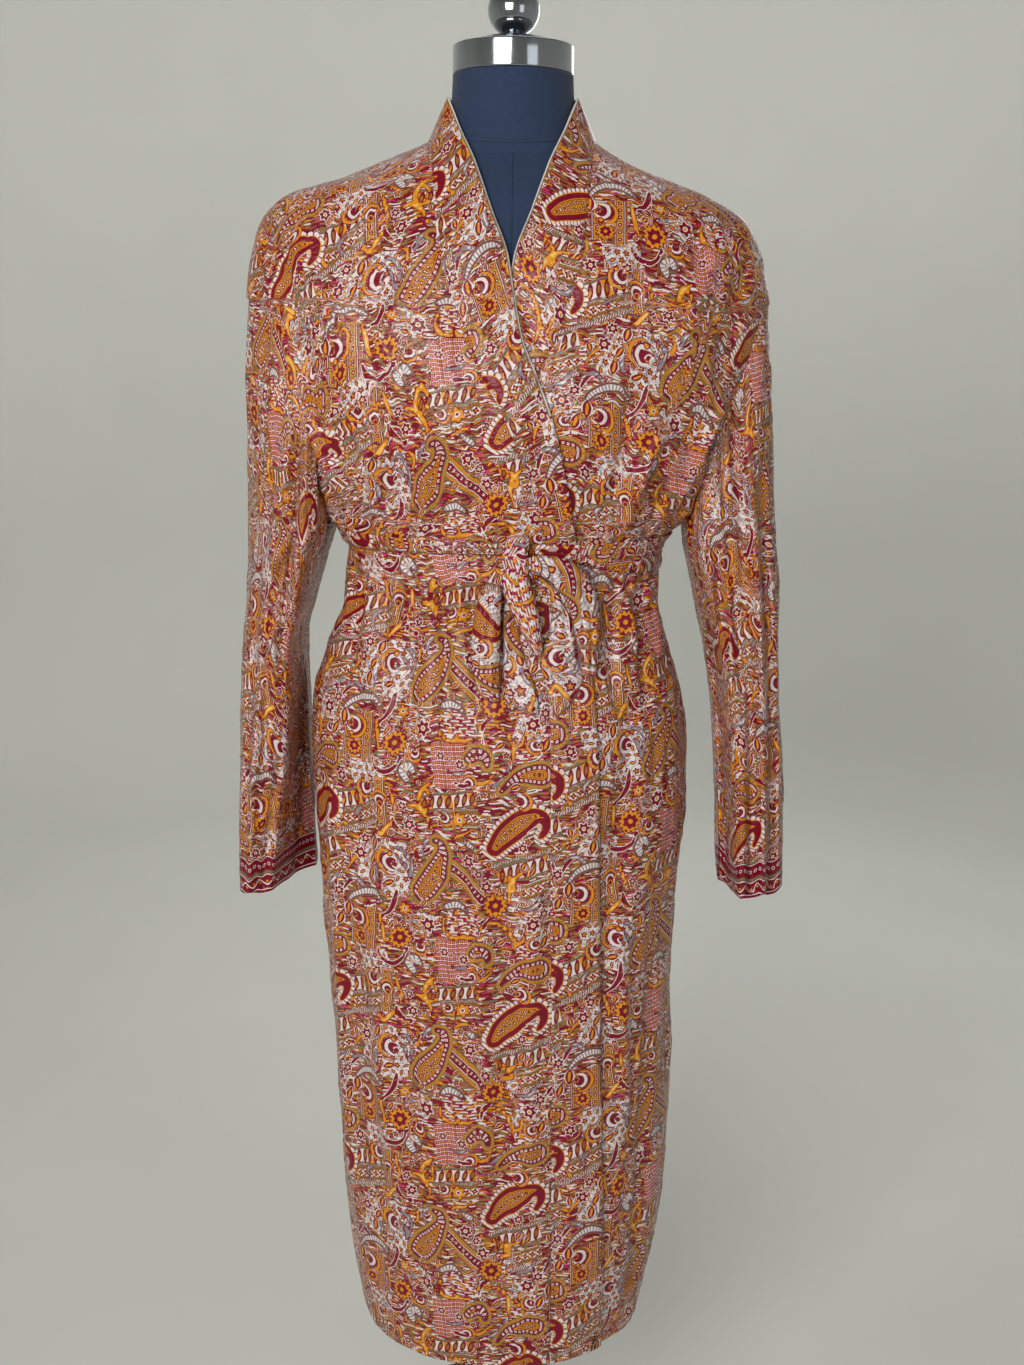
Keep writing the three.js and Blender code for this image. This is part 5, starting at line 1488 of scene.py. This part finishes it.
def form_torso(angle, z):
    """That surface moved inward by the form's distance from the cloth."""
    around = form_surface(angle + 0.02, z) - form_surface(angle - 0.02, z)
    upward = form_surface(angle, z + 1) - form_surface(angle, z - 1)
    inward = np.cross(upward, around)
    near_foot = z < 800
    inward[..., 2] = np.where(near_foot, 0, inward[..., 2])
    return form_surface(angle, z) + unit(inward) * form_inset(z)[..., None]


form_angles = np.linspace(0, 2 * np.pi, 145)[None]
torso_z = np.concatenate([np.linspace(775, 1380, 60), np.linspace(1386, 1496, 45)])[:, None]
torso = form_torso(form_angles, torso_z)


def neck_ring(angle, z):
    """Points round the neck; the height may differ from point to point."""
    half, front, back = (curve(FORM_NECK["z"], FORM_NECK[k])(z) for k in ("half", "front", "back"))
    s = np.sin(angle)
    return np.stack(np.broadcast_arrays(half * np.cos(angle), np.where(s < 0, front, back) * s, z), -1)


neck = neck_ring(form_angles, np.linspace(1503, 1570, 24)[:, None])
form_grid = np.concatenate([torso, neck])


# black cotton jersey: a matt knit with fine ribs and pale lint, and a dye that has faded a little to blue
jersey, tree, surface, place_on = plain_material(
    "black cotton jersey", "1a2846", Roughness=0.85, Sheen_Weight=0.12, Sheen_Roughness=0.5)
rib = add(tree, "TexWave", place_on, 420.0, 2.0, 2.0, 1.5, wave_type="BANDS", bands_direction="Z", out=1)
lint = add(tree, "TexNoise", place_on, None, 900.0, 2.0, 0.6)
tree.links.new(paint(tree, linear("111d35"), linear("2d4366"), lint), surface.inputs["Base Color"])
tree.links.new(add(tree, "Bump", 0.25, 0.0004, None, rib), surface.inputs["Normal"])

form = mesh_from_grid("form_body", form_grid, band_measure(form_grid))
closed(form)
finish_piece(form, "form_torso", jersey)
print("form", len(form.data.polygons), "faces")


# %% The seams of the form
def tube(name, path, radius, count=10):
    """A round cord along points in millimetres, closed at both ends."""
    path = np.asarray(path, float)
    ahead = unit(np.gradient(path, axis=0))
    side = unit(np.cross(ahead, (0.0, 0.3, 1.0)))
    up = np.cross(side, ahead)
    a = np.linspace(0, 2 * np.pi, count + 1)[None, :, None]
    grid = path[:, None] + radius * (side[:, None] * np.cos(a) + up[:, None] * np.sin(a))
    piece = mesh_from_grid(name, grid, band_measure(grid))
    closed(piece)
    return piece


seam_angle = np.linspace(0, 2 * np.pi, 181)
seam_height = 1503 + 5 * np.abs(np.sin((seam_angle - 1.5 * np.pi) / 2)) ** 1.5 * 4
neck_seam = neck_ring(seam_angle, seam_height)
neck_seam[:, :2] *= 1.004
seam_cord = tube("form_neck_seam", neck_seam, 0.9)
finish_piece(seam_cord, None, jersey)
centre_z = np.linspace(1330, 1500, 90)
centre_line = form_torso(np.full(90, 1.5 * np.pi), np.minimum(centre_z, 1496))
centre_line[:, 2] = np.minimum(centre_z, 1500)
centre_cord = tube("form_centre_seam", centre_line[centre_z < 1496], 0.5)
finish_piece(centre_cord, None, jersey)
print("form seams made")

# %% [markdown]
# The neck ends in a polished steel cap with a thin disc and a ball on it. Chrome plating shows its
# surroundings almost like a mirror, so the material is nearly smooth, with very faint turning marks on the
# cap's side. All three are turned pieces: an outline spun round the axis.

# %% Turned metal
def spun(outline, count):
    """An outline of radius and height in millimetres, spun round the upright axis."""
    r, z = (column[:, None] for column in np.array(outline, float).T)
    a = np.linspace(0, 2 * np.pi, count + 1)
    return np.stack(np.broadcast_arrays(r * np.cos(a), r * np.sin(a), z), -1)


def turned_piece(name, outline, count=128):
    """A closed turned piece with crisp corners."""
    grid = spun(outline, count)
    piece = mesh_from_grid(name, grid, band_measure(grid))
    closed(piece)
    piece.data.set_sharp_from_angle(angle=math.radians(35))
    return piece


def rounded(points, radius, steps=5):
    """Rounds the inner corners of an outline."""
    p = np.array(points, float)
    out = [p[0]]
    for a, b, c in zip(p[:-2], p[1:-1], p[2:]):
        r = min(radius, np.linalg.norm(b - a) * 0.45, np.linalg.norm(c - b) * 0.45)
        start, end = b + unit(a - b) * r, b + unit(c - b) * r
        for t in np.linspace(0, 1, steps):
            out.append((1 - t) ** 2 * start + 2 * t * (1 - t) * b + t * t * end)
    out.append(p[-1])
    return out


# polished chrome plate: nearly a mirror, so its roughness varies only a little with the turning marks
chrome, tree, surface, place_on = plain_material(
    "polished chrome plate", "aeb3ba", Metallic=1.0, Roughness=0.1)
stretch = add(tree, "Mapping", place_on, None, None, (1.0, 1.0, 40.0))
marks = add(tree, "TexNoise", stretch, None, 60.0, 3.0, 0.6)
tree.links.new(add(tree, "MapRange", marks, 0.3, 0.7, 0.05, 0.16), surface.inputs["Roughness"])

AXIS = 0.01  # mm, where an outline meets the axis
CAP_Z, CAP_TOP, CAP_R = 1570.3, 1596.3, 58.5
cap_outline = rounded([(AXIS, CAP_Z), (CAP_R, CAP_Z), (CAP_R, CAP_TOP), (AXIS, CAP_TOP)], 1.8)
cap = turned_piece("neck_cap_chrome", cap_outline)
finish_piece(cap, "neck_cap", chrome)
DISC_Z = CAP_TOP + 0.3
BALL_Z, BALL_R = DISC_Z + 10 + 22.5, 25.0
arc = np.linspace(-1.12, math.pi / 2, 40)
disc = [(AXIS, 0), (44, 0), (44, 2), (34, 6), (14, 9)]
ball_outline = rounded([(radius, DISC_Z + height) for radius, height in disc], 1.2)
ball_outline += [(max(AXIS, BALL_R * math.cos(t)), BALL_Z + BALL_R * math.sin(t)) for t in arc]
ball = turned_piece("ball_chrome", ball_outline)
finish_piece(ball, "ball_finial", chrome)
print("cap and ball made")

# %% The stand
# brushed steel tube: fine marks run along it and stretch its highlight across
steel, tree, surface, place_on = plain_material(
    "brushed steel tube", "8f9396", Metallic=1.0, Roughness=0.32)
stretch = add(tree, "Mapping", place_on, None, None, (30.0, 30.0, 1.0))
brush = add(tree, "TexNoise", stretch, None, 40.0, 2.0, 0.5)
tree.links.new(add(tree, "MapRange", brush, 0.3, 0.7, 0.24, 0.42), surface.inputs["Roughness"])
POLE_R, POLE_FOOT, POLE_TOP = 12.5, 14.3, 774.7
pole_outline = rounded([(AXIS, POLE_FOOT), (POLE_R, POLE_FOOT), (POLE_R, POLE_TOP), (AXIS, POLE_TOP)], 0.8)
pole = turned_piece("stand_pole", pole_outline, 64)
finish_piece(pole, "pole", steel)

# black powder coat: half matt, with the faint dimples of baked powder
iron, tree, surface, place_on = plain_material("black powder coat", "1b1c1e", Roughness=0.55)
orange_peel = add(tree, "TexNoise", place_on, None, 700.0, 2.0, 0.5)
tree.links.new(add(tree, "Bump", 0.3, 0.0005, None, orange_peel), surface.inputs["Normal"])
base_outline = rounded([(AXIS, 0), (175, 0), (175, 4), (171, 7), (40, 14), (AXIS, 14)], 1.5)
base = turned_piece("stand_foot", base_outline, 160)
finish_piece(base, "stand_base", iron)
print("stand made")

# %% [markdown]
# The stage is a plain pale floor that curves up into a wall all round, in a cool pale grey, so every side
# of the robe has the same quiet background. Large soft lights in front and above give the satin its
# highlights on the shoulders and leave the folds and the insides of the sleeves in shade.

# %% Floor, wall and light
FLOOR_R, CURVE_R = 2600.0, 700.0
outline = [(3300, 3900)]
for t in np.linspace(math.pi / 2, 0, 16):
    outline.append((FLOOR_R + CURVE_R * math.sin(t), CURVE_R - CURVE_R * math.cos(t)))
outline += [(1500, 0), (1, 0)]
stage_grid = spun(outline, 96)
stage = mesh_from_grid("floor_and_wall", stage_grid, stage_grid[..., :2])
# matt backdrop paper: no gloss at all, and a colour that varies just enough not to look flat
paper, tree, surface, place_on = plain_material("matt backdrop paper", "d2d3cd", Roughness=0.95)
fleck = add(tree, "TexNoise", place_on, None, 3.0, 3.0, 0.5)
tree.links.new(paint(tree, linear("cfd0ca"), linear("d6d7d2"), fleck), surface.inputs["Base Color"])
stage.data.materials.append(paper)


def soft_light(name, where, aim, size, watts, colour=(1, 1, 1)):
    """A large soft area light at a place, in metres, that faces another."""
    light = bpy.data.objects.new(name, bpy.data.lights.new(name, "AREA"))
    light.data.shape, light.data.size, light.data.size_y = "RECTANGLE", size[0], size[1]
    light.data.energy, light.data.color = watts, colour
    light.location = where
    light.rotation_euler = (Vector(aim) - Vector(where)).to_track_quat("-Z", "Y").to_euler()
    light.visible_camera = False
    bpy.context.scene.collection.objects.link(light)


soft_light("window_front", (-0.8, -2.2, 1.85), (0, 0, 1.05), (1.25, 1.1), 46, (1.0, 0.98, 0.94))
soft_light("window_right", (1.6, -2.2, 1.5), (0, 0, 0.9), (0.9, 1.4), 4, (0.95, 0.98, 1.0))
soft_light("wall_wash", (0.0, 1.1, 2.9), (0, 3.2, 0.9), (2.4, 0.5), 27)
soft_light("window_back", (0.9, 2.4, 1.7), (0, 0, 1.0), (1.1, 1.1), 9)
soft_light("ceiling", (0.0, 0.8, 3.3), (0, 0, 1.0), (1.8, 1.2), 9)
world = bpy.data.worlds.new("room")
world.use_nodes = True
sky = world.node_tree.nodes["Background"]
sky.inputs["Color"].default_value, sky.inputs["Strength"].default_value = linear("d9d7d0"), 0.07
bpy.context.scene.world = world
bpy.context.scene.view_settings.view_transform = "Standard"
print("five lights")
